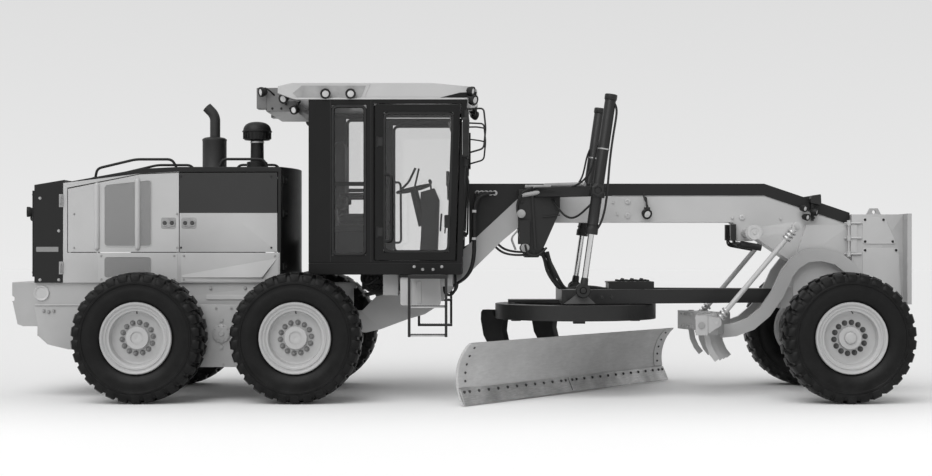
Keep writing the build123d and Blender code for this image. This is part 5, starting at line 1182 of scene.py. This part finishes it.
under = {
    "treadSteps": np.arange(0, 0.345, 0.026),       # stations of the ladders' teeth
    "lines": [
        [(-1, -0.46, 1.245), (-1.02, -0.48, 1.15), (-0.95, -0.47, 1.06), (-0.84, -0.45, 1.1),
         (-0.8, -0.44, 1.2)],
        [(-0.96, -0.5, 1.245), (-1, -0.53, 1.12), (-0.88, -0.52, 1.03), (-0.74, -0.48, 1.08),
         (-0.7, -0.44, 1.245)],
        [(-1.02, -0.52, 1.245), (-1.03, -0.54, 1.18), (-0.97, -0.54, 1.14), (-0.9, -0.52, 1.18),
         (-0.86, -0.5, 1.245)],
        [(-0.08, -0.44, 1.245), (-0.06, -0.5, 1.1), (-0.12, -0.5, 1.02), (-0.2, -0.46, 1.06),
         (-0.18, -0.385, 1.16)]],
    # hoses from the neck's side down past the cab's front: (station on the neck, y, bow forward)
    "cabLines": [(0.33, -0.42, 0), (0.285, -0.375, 0.012), (0.24, -0.33, -0.004),
                 (0.195, -0.285, 0.01), (0.15, -0.24, 0)],
}
treads = joined(
    copies(block((-0.5, -1.093, 0.665), (-0.488, -1.078, 0.677)),
           [(x, y, z) for z in (0, 0.28) for x in under["treadSteps"] for y in (0, 0.012)]),
    copies(block((-0.5, -1.08, 1.249), (-0.49, -0.82, 1.2495)),
           [(x, 0, 0) for x in under["treadSteps"]]),
    copies(block((-0.498, -1.1035, 0.65), (-0.167, -1.082, 0.664)), [(0, 0, 0), (0, 0, 0.28)]),
    block((-0.5, -0.86, 1.2345), (-0.165, -0.8, 1.2505)))
valveBank = joined(
    block((-1.035, -0.36, 1.09), (-0.835, -0.12, 1.252)),
    *[turned([(0, 0), (0, 0.024), (0.03, 0.024), (0.036, 0.016), (0.06, 0.016), (0.06, 0)],
             (x, -0.36, z), rightward, 16) for x in (-1, -0.935, -0.87) for z in (1.125, 1.205)])
stepBox = joined(
    plate(softRectangle((-0.418, 1.084), 0.4, 0.285, 0.02), "y", -0.77, -0.6),
    *[plate(softRectangle((x, 1.075), 0.05, 0.225, 0.014), "y", -0.778, -0.768)
      for x in (-0.53, -0.43)])
cabHoses = hoses([[
    (x, -0.15, 2.09), (x - 0.01, -0.205, 2.095), (0.135 + bow, y * 0.85, 2.045),
    (0.114 + bow, y, 1.9), (0.11 + bow, y, 1.7), (0.12 + bow, y, 1.42), (0.06 + bow, y, 1.22),
    (-0.1, y * 0.9, 1.13)] for x, y, bow in under["cabLines"]], 0.0135, 10)
addPairs("front_chassis", [
    ("treadTeeth", treads, zincBolt),
    ("underCabLines", joined(
        turned([(0, 0), (0, 0.04), (0.26, 0.04), (0.265, 0.02), (0.36, 0.02), (0.36, 0)],
               (-0.64, -0.42, 1.12), (-1, 0, -0.23), 24), hoses(under["lines"], 0.013)),
     rubberHose),
    ("valveBanks", valveBank, darkIron, 0.003),
    ("stepBoxes", stepBox, lightEnamel, 0.006),
    ("stepBoxLids", block((-0.625, -0.79, 1.222), (-0.205, -0.59, 1.248)), darkEnamel, 0.004),
    ("cabHoses", cabHoses, rubberHose),
    ("cabHoseFittings", joined(
        sideBolts(0.04, -0.15, [(x, 2.09) for x, _, _ in under["cabLines"]]),
        block((0.095, -0.445, 1.6), (0.135, -0.215, 1.625)),
        block((0.098, -0.445, 1.88), (0.138, -0.215, 1.905))), zincBolt),
])


boom = {
    "side": -0.15, "coverSide": -0.2445,                # right faces of the boom and of its covers
    "bosses": [(1.71, 2), (1.71, 1.855), (2.9, 1.835)],
    "bolts": [(1.56, 1.99), (1.6, 1.87), (2.8, 1.83), (3.3, 1.82), (3.62, 1.7)],
    "seam": [(1.55, 2.058), (3.128, 2.058), (3.955, 1.777)],
    "covers": [[(4.13, 1.56), (4.13, 1.835), (4.36, 1.835), (4.48, 1.56)],
               [(4.13, 1.01), (4.13, 1.52), (4.5, 1.52), (4.53, 1.01)]],
    "coverScrews": [(4.155, 1.585), (4.155, 1.81), (4.345, 1.81), (4.44, 1.585), (4.155, 1.035),
                    (4.155, 1.495), (4.475, 1.495), (4.5, 1.035)],
}
side = boom["side"]
blockHinges = joined(
    *[joined(tube([(3.955, -0.205, z), (3.975, -0.248, z), (4.1, -0.248, z), (4.12, -0.238, z)],
                  0.02, 0.011),
             disc(0.019, 0.056, (3.985, -0.252, z - 0.028), upward, 16))
      for z in (1.776, 1.621, 1.456)],
    disc(0.01, 0.37, (3.985, -0.252, 1.43), upward, 12),
    block((4.005, -0.245, 1.47), (4.07, -0.236, 1.76)))
lampArm = joined(
    tube([(1.895, -0.15, 2.04), (1.895, -0.215, 2.035), (1.905, -0.222, 1.93)], 0.03, 0.011),
    hoses([[(1.88, -0.152, 2.09), (1.872, -0.178, 2.03), (1.915, -0.195, 1.97),
            (1.92, -0.21, 1.92)]], 0.006),
    block((1.875, -0.235, 1.915), (1.935, -0.205, 1.94)))
noseBox = joined(
    plate(roundCorners([(3.59, 1.985), (3.6, 2.06), (3.7, 2.075), (3.705, 1.96)], 0.014), "y",
          -0.245, -0.15),
    block((3.61, -0.185, 1.8), (3.64, -0.15, 1.99)),
    tube([(3.52, -0.151, 1.935), (3.52, -0.205, 1.925), (3.6, -0.215, 1.9), (3.64, -0.215, 1.82)],
         0.03, 0.009))
addPairs("front_chassis", [
    ("boomBosses", joined(
        *[turned([(0, 0), (0, 0.03), (0.01, 0.03), (0.014, 0.024), (0.014, 0.012),
                  (0.008, 0.01), (0.008, 0)], (x, side, z), rightward, 24)
          for x, z in boom["bosses"]],
        sideBolts(0.026, side, boom["bolts"]),
        tube([(0.55, side, 1.5), (0.5, side - 0.012, 1.62), (0.62, side - 0.012, 1.76),
              (0.66, side, 1.86)], 0.04, 0.008)), lightEnamel),
    ("boomSeams", carried([(x, side, z) for x, z in boom["seam"]], 0.004, 6), paleIron, 0,
     "light_paint"),
    ("boomLampArms", lampArm, blackBolt, 0.002),
    ("noseBoxes", noseBox, blackBolt, 0.004, "cab_plastic"),
    ("blockHinges", blockHinges, lightEnamel, 0.002),
    ("blockCovers", joined(*[plate(roundCorners(outline, 0.03), "y", boom["coverSide"], -0.236)
                             for outline in boom["covers"]]), lightEnamel, 0.002),
    ("blockScrews", sideBolts(0.02, boom["coverSide"], boom["coverScrews"]), blackBolt),
])
addLamps("boomLamp", "front_chassis", [((1.905, -0.232, 1.868), (0.45, -1, -0.35), 0.054)])
addLamps("noseLamp", "front_chassis", [((3.535, -0.235, 1.925), (0.8, -1, -0.2), 0.036),
                                       ((3.56, -0.235, 1.835), (0.8, -1, -0.2), 0.036),
                                       ((3.655, -0.225, 1.89), (1, -0.5, -0.2), 0.04)])
makePiece("blockFaceBolts", bolts(0.036, forward, [
    (4.5465, y, z) for y in (-0.195, 0.195) for z in (1.3, 1.5)]), "front_chassis", zincBolt)
print("boom and block made")


lift = {
    "foot": (1.21, -0.72, 1.09), "head": (1.4927, -0.72, 3.055),
    "collars": [(1.655, 0.034), (1.745, 0.012), (3, 0.052)],        # (height, length)
    # hoses down the barrel: (height, offset from the cylinder's line)
    "frontPipe": [(2.96, (0.045, -0.02, 0)), (2.9, (0.085, -0.02, 0)), (2.7, (0.076, -0.02, 0)),
                  (2.4, (0.076, -0.02, 0)), (2.15, (0.095, -0.03, 0)), (1.9, (0.105, -0.03, 0)),
                  (1.75, (0.078, -0.02, 0)), (1.7, (0.045, -0.02, 0))],
    "rearPipe": [(2.6, (-0.05, 0.02, 0)), (2.5, (-0.078, 0.02, 0)), (2.3, (-0.08, 0.05, 0)),
                 (2.18, (-0.15, 0.1, 0)), (2.13, (-0.26, 0.22, 0))],
}
liftFoot, liftHead = np.array(lift["foot"]), np.array(lift["head"])
liftWay = (liftHead - liftFoot) / np.linalg.norm(liftHead - liftFoot)


# Point of the lift cylinder's line at height z, moved by out.
def onLift(z, out=(0, 0, 0)):
    return liftFoot + liftWay * ((z - liftFoot[2]) / liftWay[2]) + np.array(out)


trunnionX = onLift(2.09)[0]
addPairs("front_chassis", [
    ("cylinderBands", turned([(0, 0.0555), (0, 0.0605), (0.014, 0.0605), (0.014, 0.0555)],
                             onLift(2.5), liftWay, 28, closed=True), zincBolt),
    ("cylinderCollars", joined(
        *[turned([(0, 0.054), (0, 0.0615), (0.006, 0.0635), (long - 0.006, 0.0635),
                  (long, 0.0615), (long, 0.054)], onLift(z), liftWay, 32, closed=True)
          for z, long in lift["collars"]]), linkageEnamel),
    ("cylinderPipes", joined(*[
        carried(flowing([onLift(z, out) for z, out in lift[line]]), radius, 10)
        for line, radius in (("frontPipe", 0.0115), ("rearPipe", 0.0105))]), rubberHose),
    ("trunnionCaps", joined(
        turned([(0, 0), (0, 0.07), (0.014, 0.074), (0.026, 0.074), (0.036, 0.06), (0.036, 0.04),
                (0.028, 0.034), (0.028, 0)], (trunnionX, -0.7725, 2.09), rightward, 6),
        disc(0.03, 0.01, (trunnionX, -0.795, 2.09), rightward, 24)), linkageEnamel, 0.003),
])
addPairs("lift_rods", [("liftRodEyes", joined(
    turned([(-0.031, 0.036), (-0.031, 0.068), (-0.024, 0.0745), (0.024, 0.0745), (0.031, 0.068),
            (0.031, 0.036)], liftFoot, (0, 1, 0), 36, closed=True),
    turned([(0.06, 0), (0.06, 0.04), (0.12, 0.036), (0.132, 0.03), (0.132, 0)], liftFoot,
           liftWay, 24)), linkageEnamel)])
rod = disc(0.031, 1.06, liftFoot + liftWay * 0.115, liftWay, 32)
piece = makePiece("liftRods", bothSides(rod), "lift_rods", rodChrome)
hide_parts("lift_rods")


saddle = {
    "pins": [((0.845, -0.2, 2.165), (1.245, -0.48, 2.165), 0.024),
             ((0.64, -0.3, 2.15), (0.905, -0.305, 2.15), 0.019),
             ((0.61, -0.33, 2.06), (0.98, -0.335, 2.12), 0.023)],
    "cap": [(0, 0), (0, 0.04), (0.012, 0.044), (0.04, 0.044), (0.046, 0.032), (0.046, 0)],
    "bolts": [(0.66, 1.46), (0.735, 1.455), (0.8, 1.455), (0.61, 1.99), (0.615, 1.72),
              (0.95, 2.05)],
    "lines": [
        [(0.59, -0.315, 1.8), (0.54, -0.33, 1.94), (0.6, -0.35, 2.1), (0.72, -0.34, 2.14)],
        [(0.64, -0.345, 1.55), (0.66, -0.38, 1.44), (0.78, -0.36, 1.43), (0.86, -0.31, 1.52)],
        [(0.34, -0.13, 1.585), (0.42, -0.16, 1.5), (0.56, -0.2, 1.475), (0.7, -0.23, 1.475)],
        [(0.31, -0.1, 1.56), (0.4, -0.14, 1.465), (0.54, -0.18, 1.44), (0.7, -0.22, 1.45)],
        [(0.92, -0.33, 2.02), (1, -0.42, 1.88), (1.1, -0.5, 1.8), (1.2, -0.6, 1.86),
         (1.305, -0.7, 1.97)]],
    # hoses that hang to the drawbar: (x, z) of their knots, and (y, offset in x) of each
    "hang": [(0.83, 1.48), (0.87, 1.4), (0.91, 1.29), (0.955, 1.18), (1, 1.12), (1.06, 1.085)],
    "spread": [(-0.24, 0.03), (-0.205, -0.034), (-0.17, 0.012), (-0.135, -0.012), (-0.1, 0.038)],
}
addPairs("front_chassis", [
    ("saddlePins", joined(
        *[carried([start, end], radius, 14) for start, end, radius in saddle["pins"]],
        *[turned(saddle["cap"], (x, -0.3, z), rightward, 24)
          for x, z in ((0.6, 1.87), (0.64, 1.52))]), paleIron),
    ("saddleRibs", joined(
        plate([(0.735, 1.5), (0.7, 2.08), (0.722, 2.08), (0.757, 1.5)], "y", -0.33, -0.298),
        plate([(0.82, 1.83), (1, 1.85), (1, 1.862), (0.82, 1.842)], "y", -0.318, -0.298),
        sideBolts(0.03, -0.301, saddle["bolts"]),
        block((0.58, -0.345, 1.56), (0.69, -0.299, 1.8))), linkageEnamel, 0.003),
    ("saddleHoses", hoses(saddle["lines"], 0.011), rubberHose),
])
hangLines = [flowing([
    (x + aside + 0.016 * math.sin(20 * z + y * 40), y + 0.014 * math.cos(17 * z + y * 50), z)
    for x, z in saddle["hang"]], 10) for y, aside in saddle["spread"]]
hangPiece = makePiece("drawbarHoses", joined(*[carried(line, 0.016, 10) for line in hangLines]),
                      None, rubberHose)
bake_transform(hangPiece)


drawbarValves = joined(
    block((1.5, -0.19, 1.155), (1.975, 0.19, 1.168)),
    bolts(0.036, upward, [(x, y, 1.168) for x in (1.62, 1.72, 1.82, 1.92)
                          for y in (-0.14, 0, 0.14)]),
    *[turned([(0, 0), (0, 0.022), (0.02, 0.022), (0.024, 0.012), (0.034, 0.012), (0.034, 0)],
             (x, y, 1.168), upward, 12) for x in (1.67, 1.77, 1.87) for y in (-0.07, 0.07)])
makePiece("drawbarValves", drawbarValves, "drawbar", blackBolt, 0.002)
makePiece("drawbarLines", hoses([
    [(1.06, y, 1.085), (1.2, y, 1.12), (1.38, y, 1.115), (1.5, y, 1.09)]
    for y in (-0.15, -0.05)], 0.012), "drawbar", rubberHose)
gusset = np.array([
    [(1.02, -0.661, 0.955), (1.02, -0.7, 0.955), (1.15, -0.69, 0.955), (1.34, -0.664, 0.955),
     (1.34, -0.661, 0.955)],
    [(1.195, -0.661, 1.085), (1.195, -0.668, 1.085), (1.2, -0.668, 1.085),
     (1.205, -0.664, 1.085), (1.205, -0.661, 1.085)]])
addPairs("drawbar", [
    ("drawbarGussets", skin(gusset), gussetEnamel),
    ("drawbarBolts", sideBolts(0.036, -0.6605, [(1.4, 1.02), (1.5, 1.02)]), blackBolt),
])
circle = {"middle": (1.175, 0, 0.8), "teeth": 72, "toothCircle": 0.652, "toothRadius": 0.016}
ringMiddle = np.array(circle["middle"])
toothSpots = [
    ringMiddle + circle["toothCircle"] * np.array([math.cos(a), math.sin(a), 0])
    for a in evenly(circle["teeth"])]
makePiece("circleTeeth", joined(*[disc(circle["toothRadius"], 0.11, spot, upward, 6)
                                  for spot in toothSpots]), "circle", darkIron)
lip = turned([(0, 0.832), (0, 0.8405), (0.018, 0.8405), (0.018, 0.832)],
             ringMiddle - (0, 0, 0.014), upward, 96, closed=True)
makePiece("circleLip", lip, "circle", linkageEnamel, 0.002)


blade = {
    "origin": (1.175, 0, 0), "turn": 51.78,                     # degrees from the line of travel
    "knots": [(0, 0.012), (0.083, 0.312), (-0.085, 0.612)],     # front face: foot, belly, top
    "edgeWay": (0.0716, 0.15),                                  # up the cutting edge's face
    "boltStep": 0.1525, "boltRise": 0.128, "boltProud": 0.0162,
    "ends": (1.68, 1.85),                                       # inner and outer end of the bits
}
turnAngle = math.radians(blade["turn"])
bladeAxes = np.array([[math.cos(turnAngle), math.sin(turnAngle), 0],
                      [-math.sin(turnAngle), math.cos(turnAngle), 0], [0, 0, 1]])


# Moves a shape from the blade's own axes (along, back, up) to the machine's.
def onBlade(shape):
    return shape[0] @ bladeAxes + np.array(blade["origin"]), shape[1]


# Centre and radius of the circle through three points.
def arcThrough(a, b, c):
    system = 2 * (np.array([b, c]) - a)
    centre = np.linalg.solve(system, np.array([np.dot(p, p) - np.dot(a, a) for p in (b, c)]))
    return centre, math.dist(a, centre)


centre, radius = arcThrough(*blade["knots"])


# Depth of the blade's front face at height z.
def faceDepth(z):
    return centre[0] + np.sqrt(radius ** 2 - (z - centre[1]) ** 2)


# A curved strip laid on the blade's front face from z0 to z1.
def stripShape(x0, x1, z0, z1, proud, steps=10):
    z = np.linspace(z0, z1, steps)
    front = np.column_stack([faceDepth(z) - proud, z])
    back = np.column_stack([faceDepth(z) + 0.001, z])
    return plate(np.vstack([front, back[::-1]]), "x", x0, x1)


slant = np.array(blade["edgeWay"]) / math.hypot(*blade["edgeWay"])
out = np.array([-slant[1], slant[0]])
boltSpot = np.array(blade["knots"][0]) + slant * blade["boltRise"] + out * blade["boltProud"]
boltRows = [[-1.8, -1.72], np.arange(-1.575, -0.25, blade["boltStep"]), [-0.2, -0.12], [0, 0.08],
            np.arange(0.225, 1.62, blade["boltStep"]), [1.72, 1.8]]
edgeBolts = bolts(0.024, (0, *out), [(x, *boltSpot) for x in np.concatenate(boltRows)])
endBolts = bolts(0.02, rightward, [(x, faceDepth(z) - 0.0095, z) for x in (-1.745, 1.745)
                                   for z in np.linspace(0.235, 0.56, 5)])
split = plate([boltSpot + slant * t + (aside, 0) for aside, t in (
    (-0.004, -0.115), (-0.004, 0.03), (0.01, 0.03), (0.01, -0.115))], "x", -0.0615, -0.0585)
inner, outer = blade["ends"]
endBits = joined(stripShape(-outer, -inner, 0.178, 0.606, 0.009),
                 stripShape(inner, outer, 0.178, 0.606, 0.009),
                 stripShape(-1.676, 1.676, 0.594, 0.6105, 0.005, 3))
makePiece("bladeEndBits", onBlade(endBits), "moldboard", bladeSteel, 0.0015)
makePiece("bladeBolts", onBlade(joined(edgeBolts, endBolts, split)), "moldboard", nutIron)
print("blade trimmed")


scarifier = {
    "barRear": 2.59, "sweep": 0.357, "tines": [0, 0.195, -0.195, 0.4, -0.4, 0.57, -0.57],
    "keeper": [(-0.012, -0.05), (0.01, -0.05), (0.01, 0.05), (-0.012, 0.05)],
    "linkFoot": (2.555, -0.64, 0.765), "linkHead": (3.365, -0.64, 1.73),
    "clamps": (0.075, 0.115, 0.155, 1.105, 1.145, 1.185),       # along the link from its foot
    "lines": [[(2.8, -0.19, 1.61), (2.8, -0.2, 1.55), (2.86, -0.22, 1.53), (2.92, -0.25, 1.55)],
              [(2.81, -0.17, 1.61), (2.82, -0.18, 1.56), (2.9, -0.2, 1.56), (2.98, -0.24, 1.55)]],
}


# Station of the swept bar's rear face at y.
def barFace(y):
    return scarifier["barRear"] - scarifier["sweep"] * abs(y)


keepers = joined(*[joined(
    plate([(barFace(y + b) + a, y + b) for a, b in scarifier["keeper"]], "z", z - 0.02, z + 0.02),
    bolts(0.026, (-1, 0, 0), [(barFace(y + s * 0.036) - 0.012, y + s * 0.036, z)
                              for s in (-1, 1)]))
    for y in scarifier["tines"] for z in (0.675, 0.805)])
makePiece("tineKeepers", keepers, "scarifier_frame", lightEnamel, 0.0015)
addPairs("scarifier_frame", [
    ("armBosses", turned([(0, 0), (0, 0.062), (0.01, 0.062), (0.014, 0.054), (0.014, 0.03),
                          (0.024, 0.026), (0.024, 0)], (4.08, -0.2985, 1.18), rightward, 28),
     lightEnamel, 0.0015),
    ("barPlugs", turned([(0, 0), (0, 0.034), (0.008, 0.034), (0.01, 0.028), (0.01, 0)],
                        (2.4, -0.7005, 0.74), rightward, 24), paleIron),
])
linkFoot, linkHead = np.array(scarifier["linkFoot"]), np.array(scarifier["linkHead"])
linkWay = (linkHead - linkFoot) / np.linalg.norm(linkHead - linkFoot)
addPairs("scarifier_links", [
    ("linkPins", joined(*[disc(size, height, (x, -0.6665, z), rightward, sides)
                          for x, _, z in (linkFoot, linkHead)
                          for size, height, sides in ((0.03, 0.012, 6), (0.016, 0.022, 16))]),
     zincBolt),
    ("linkClamps", joined(*[
        turned([(-0.011, 0.0265), (-0.011, 0.043), (-0.006, 0.046), (0.006, 0.046),
                (0.011, 0.043), (0.011, 0.0265)], linkFoot + linkWay * far, linkWay, 20,
               closed=True) for far in scarifier["clamps"]]), zincBolt),
])
addPairs("scarifier_rocker", [("rockerCaps", turned(
    [(0, 0), (0, 0.072), (0.008, 0.076), (0.016, 0.072), (0.016, 0.046), (0.01, 0.04),
     (0.01, 0.02), (0.018, 0.016), (0.018, 0)], (2.935, -0.6755, 1.672), rightward, 36),
    lightEnamel)])
addPairs("front_chassis", [("scarifierLines", joined(
    block((2.775, -0.205, 1.6), (2.83, -0.155, 1.765)),
    turned([(0, 0), (0, 0.034), (0.22, 0.034), (0.225, 0.018), (0.26, 0.018), (0.26, 0)],
           (3.08, -0.25, 1.52), (-1, 0, 0.18), 20),
    hoses(scarifier["lines"], 0.01)), blackBolt)])
axlePinCap = joined(
    turned([(0, 0), (0, 0.075), (0.012, 0.075), (0.018, 0.066), (0.018, 0)], (3.9525, 0, 0.77),
           forward, 32),
    bolts(0.024, forward, [(3.9525, 0.055 * math.cos(a), 0.77 + 0.055 * math.sin(a))
                           for a in evenly(6)]))
makePiece("axlePinCap", axlePinCap, "front_chassis", darkIron)
addPairs("lean_bar", [
    ("leanBarBolts", disc(0.022, 0.01, (3.9925, -0.72, 0.81), forward, 6), zincBolt)])
print("scarifier and front axle trimmed")


# lean and spokes in degrees
steering = {"lean": 13.3, "middle": (-0.52, 0, 2.14), "radius": 0.174, "spokes": (90, 210, 330)}
wheelLean = math.radians(steering["lean"])
column = np.array([-math.sin(wheelLean), 0, math.cos(wheelLean)])
wheelMid = np.array(steering["middle"])
_, sideA, sideB = sidewaysOf(column)
angle = evenly(64)[:, None]
rimPath = wheelMid + steering["radius"] * (np.cos(angle) * sideA + np.sin(angle) * sideB)
spokes = [carried(flowing([wheelMid - column * 0.012, wheelMid - column * 0.016 + way * 0.09,
                           wheelMid + way * 0.17]), 0.0105, 10, flatten=1.5)
          for way in (np.cos(a) * sideA + np.sin(a) * sideB
                      for a in np.radians(steering["spokes"]))]
wheelHub = turned([(-0.05, 0), (-0.05, 0.028), (-0.02, 0.04), (0.006, 0.042), (0.014, 0.034),
                   (0.017, 0)], wheelMid, column, 32)
piece = makePiece("steeringWheel", joined(carried(rimPath, 0.0155, 14, closed=True), wheelHub,
                                          *spokes), "steering_wheel", greyPlastic)
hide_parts("steering_wheel")


seat = {
    # across: axis of the thickness; seams: their y
    "cushion": {"node": "seat_cushion", "across": 2, "seams": (-0.082, 0.082), "fill": 0.7},
    "back": {"node": "seat_back", "across": 0, "seams": (-0.078, 0.078), "fill": 0.65},
    "shrink": 0.012, "cap": 0.012,      # inset of the first block; how far the cloth may move
    "corner": 0.06, "edge": 0.03,       # radii in plan and in section
    "voxel": 0.007, "pressure": 4, "frames": 20,
    "seamWidth": 0.0075, "seamDepth": 0.009,
    "quilts": (-0.25, 0.02, 0.28), "quiltReach": 0.078, "quiltDepth": 0.006,    # shares of length
}


# A cushion's block: round corners in plan, round edges in section, front and sides crowned.
def padShape(low, high, across):
    u, v = [i for i in range(3) if i != across]
    middle, size = (low + high) / 2, high - low
    rings = []
    for height in np.sin(np.linspace(-0.5, 0.5, 13) * math.pi):
        inset = seat["edge"] * (1 - math.sqrt(max(0, 1 - abs(height) ** 2.6)))
        outline = softRectangle((middle[u], middle[v]), size[u] - 2 * inset, size[v] - 2 * inset,
                                seat["corner"] - inset * 0.5, 8)
        ring = np.full((len(outline), 3), middle[across] + height * size[across] / 2)
        ring[:, u], ring[:, v] = outline[:, 0], outline[:, 1]
        rings.append(ring)
    return skin(np.array(rings))


def readPoints(mesh):
    points = np.empty(len(mesh.vertices) * 3, np.float32)
    mesh.vertices.foreach_get("co", points)
    return points.reshape(-1, 3).astype(float)


# Puts the mesh that the modifiers give in place of the piece's own, and removes them.
def settle(piece):
    graph = bpy.context.evaluated_depsgraph_get()
    mesh = bpy.data.meshes.new_from_object(piece.evaluated_get(graph), depsgraph=graph)
    mesh.name = piece.name
    old, piece.data = piece.data, mesh
    piece.modifiers.clear()
    bpy.data.meshes.remove(old)


# Blows the piece up as cloth under pressure, for the frames asked for.
def fillPad(piece):
    scene = bpy.context.scene
    cloth = piece.modifiers.new("filling", "CLOTH")
    cloth.settings.use_pressure = True
    cloth.settings.uniform_pressure_force = seat["pressure"]
    cloth.settings.effector_weights.gravity = 0
    cloth.settings.quality = 5
    cloth.point_cache.frame_start, cloth.point_cache.frame_end = 1, seat["frames"]
    for step in range(1, seat["frames"] + 1):
        scene.frame_set(step)
    settle(piece)
    scene.frame_set(1)


# Voxel remesh, cloth under pressure, movement capped, seams drawn in, one subdivision.
def padSeat(name, spec):
    across = spec["across"]
    outerLow, outerHigh = (np.array(corner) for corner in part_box(spec["node"]))
    low, high = outerLow + seat["shrink"], outerHigh - seat["shrink"]
    piece = makePiece(name, padShape(low, high, across), "front_chassis", seatCloth, creases=80)
    if "sharp_edge" in piece.data.attributes:
        piece.data.attributes.remove(piece.data.attributes["sharp_edge"])
    voxels = piece.modifiers.new("voxels", "REMESH")
    voxels.mode = "VOXEL"
    voxels.voxel_size = seat["voxel"]
    settle(piece)
    start = readPoints(piece.data)
    fillPad(piece)
    move = readPoints(piece.data) - start
    far = np.linalg.norm(move, axis=1, keepdims=True)
    points = start + move * np.minimum(1, seat["cap"] / np.maximum(far, 1e-9))
    middle = (low + high) / 2

    # How much each point is drawn in by a seam along one axis.
    def nearSeam(axis, place):
        return np.exp(-((points[:, axis] - place) / seat["seamWidth"]) ** 2)

    for seam in spec["seams"]:
        inward = np.sign(middle[across] - points[:, across])
        points[:, across] += nearSeam(1, middle[1] + seam) * inward * seat["seamDepth"]
    lengthwise = 2 - across
    for share in seat["quilts"]:
        place = middle[lengthwise] + share * (high - low)[lengthwise]
        inner = np.clip((seat["quiltReach"] - np.abs(points[:, 1] - middle[1])) / 0.01, 0, 1)
        inward = np.sign(middle[across] - points[:, across])
        points[:, across] += nearSeam(lengthwise, place) * inner * inward * seat["quiltDepth"]
    points = np.clip(points, outerLow, outerHigh)
    piece.data.vertices.foreach_set("co", points.astype(np.float32).ravel())
    piece.data.shade_smooth()
    smooth = piece.modifiers.new("soft", "SUBSURF")
    smooth.levels = smooth.render_levels = 1
    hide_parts(spec["node"])


padSeat("seatCushion", seat["cushion"])
padSeat("seatBack", seat["back"])
print("seat padded")
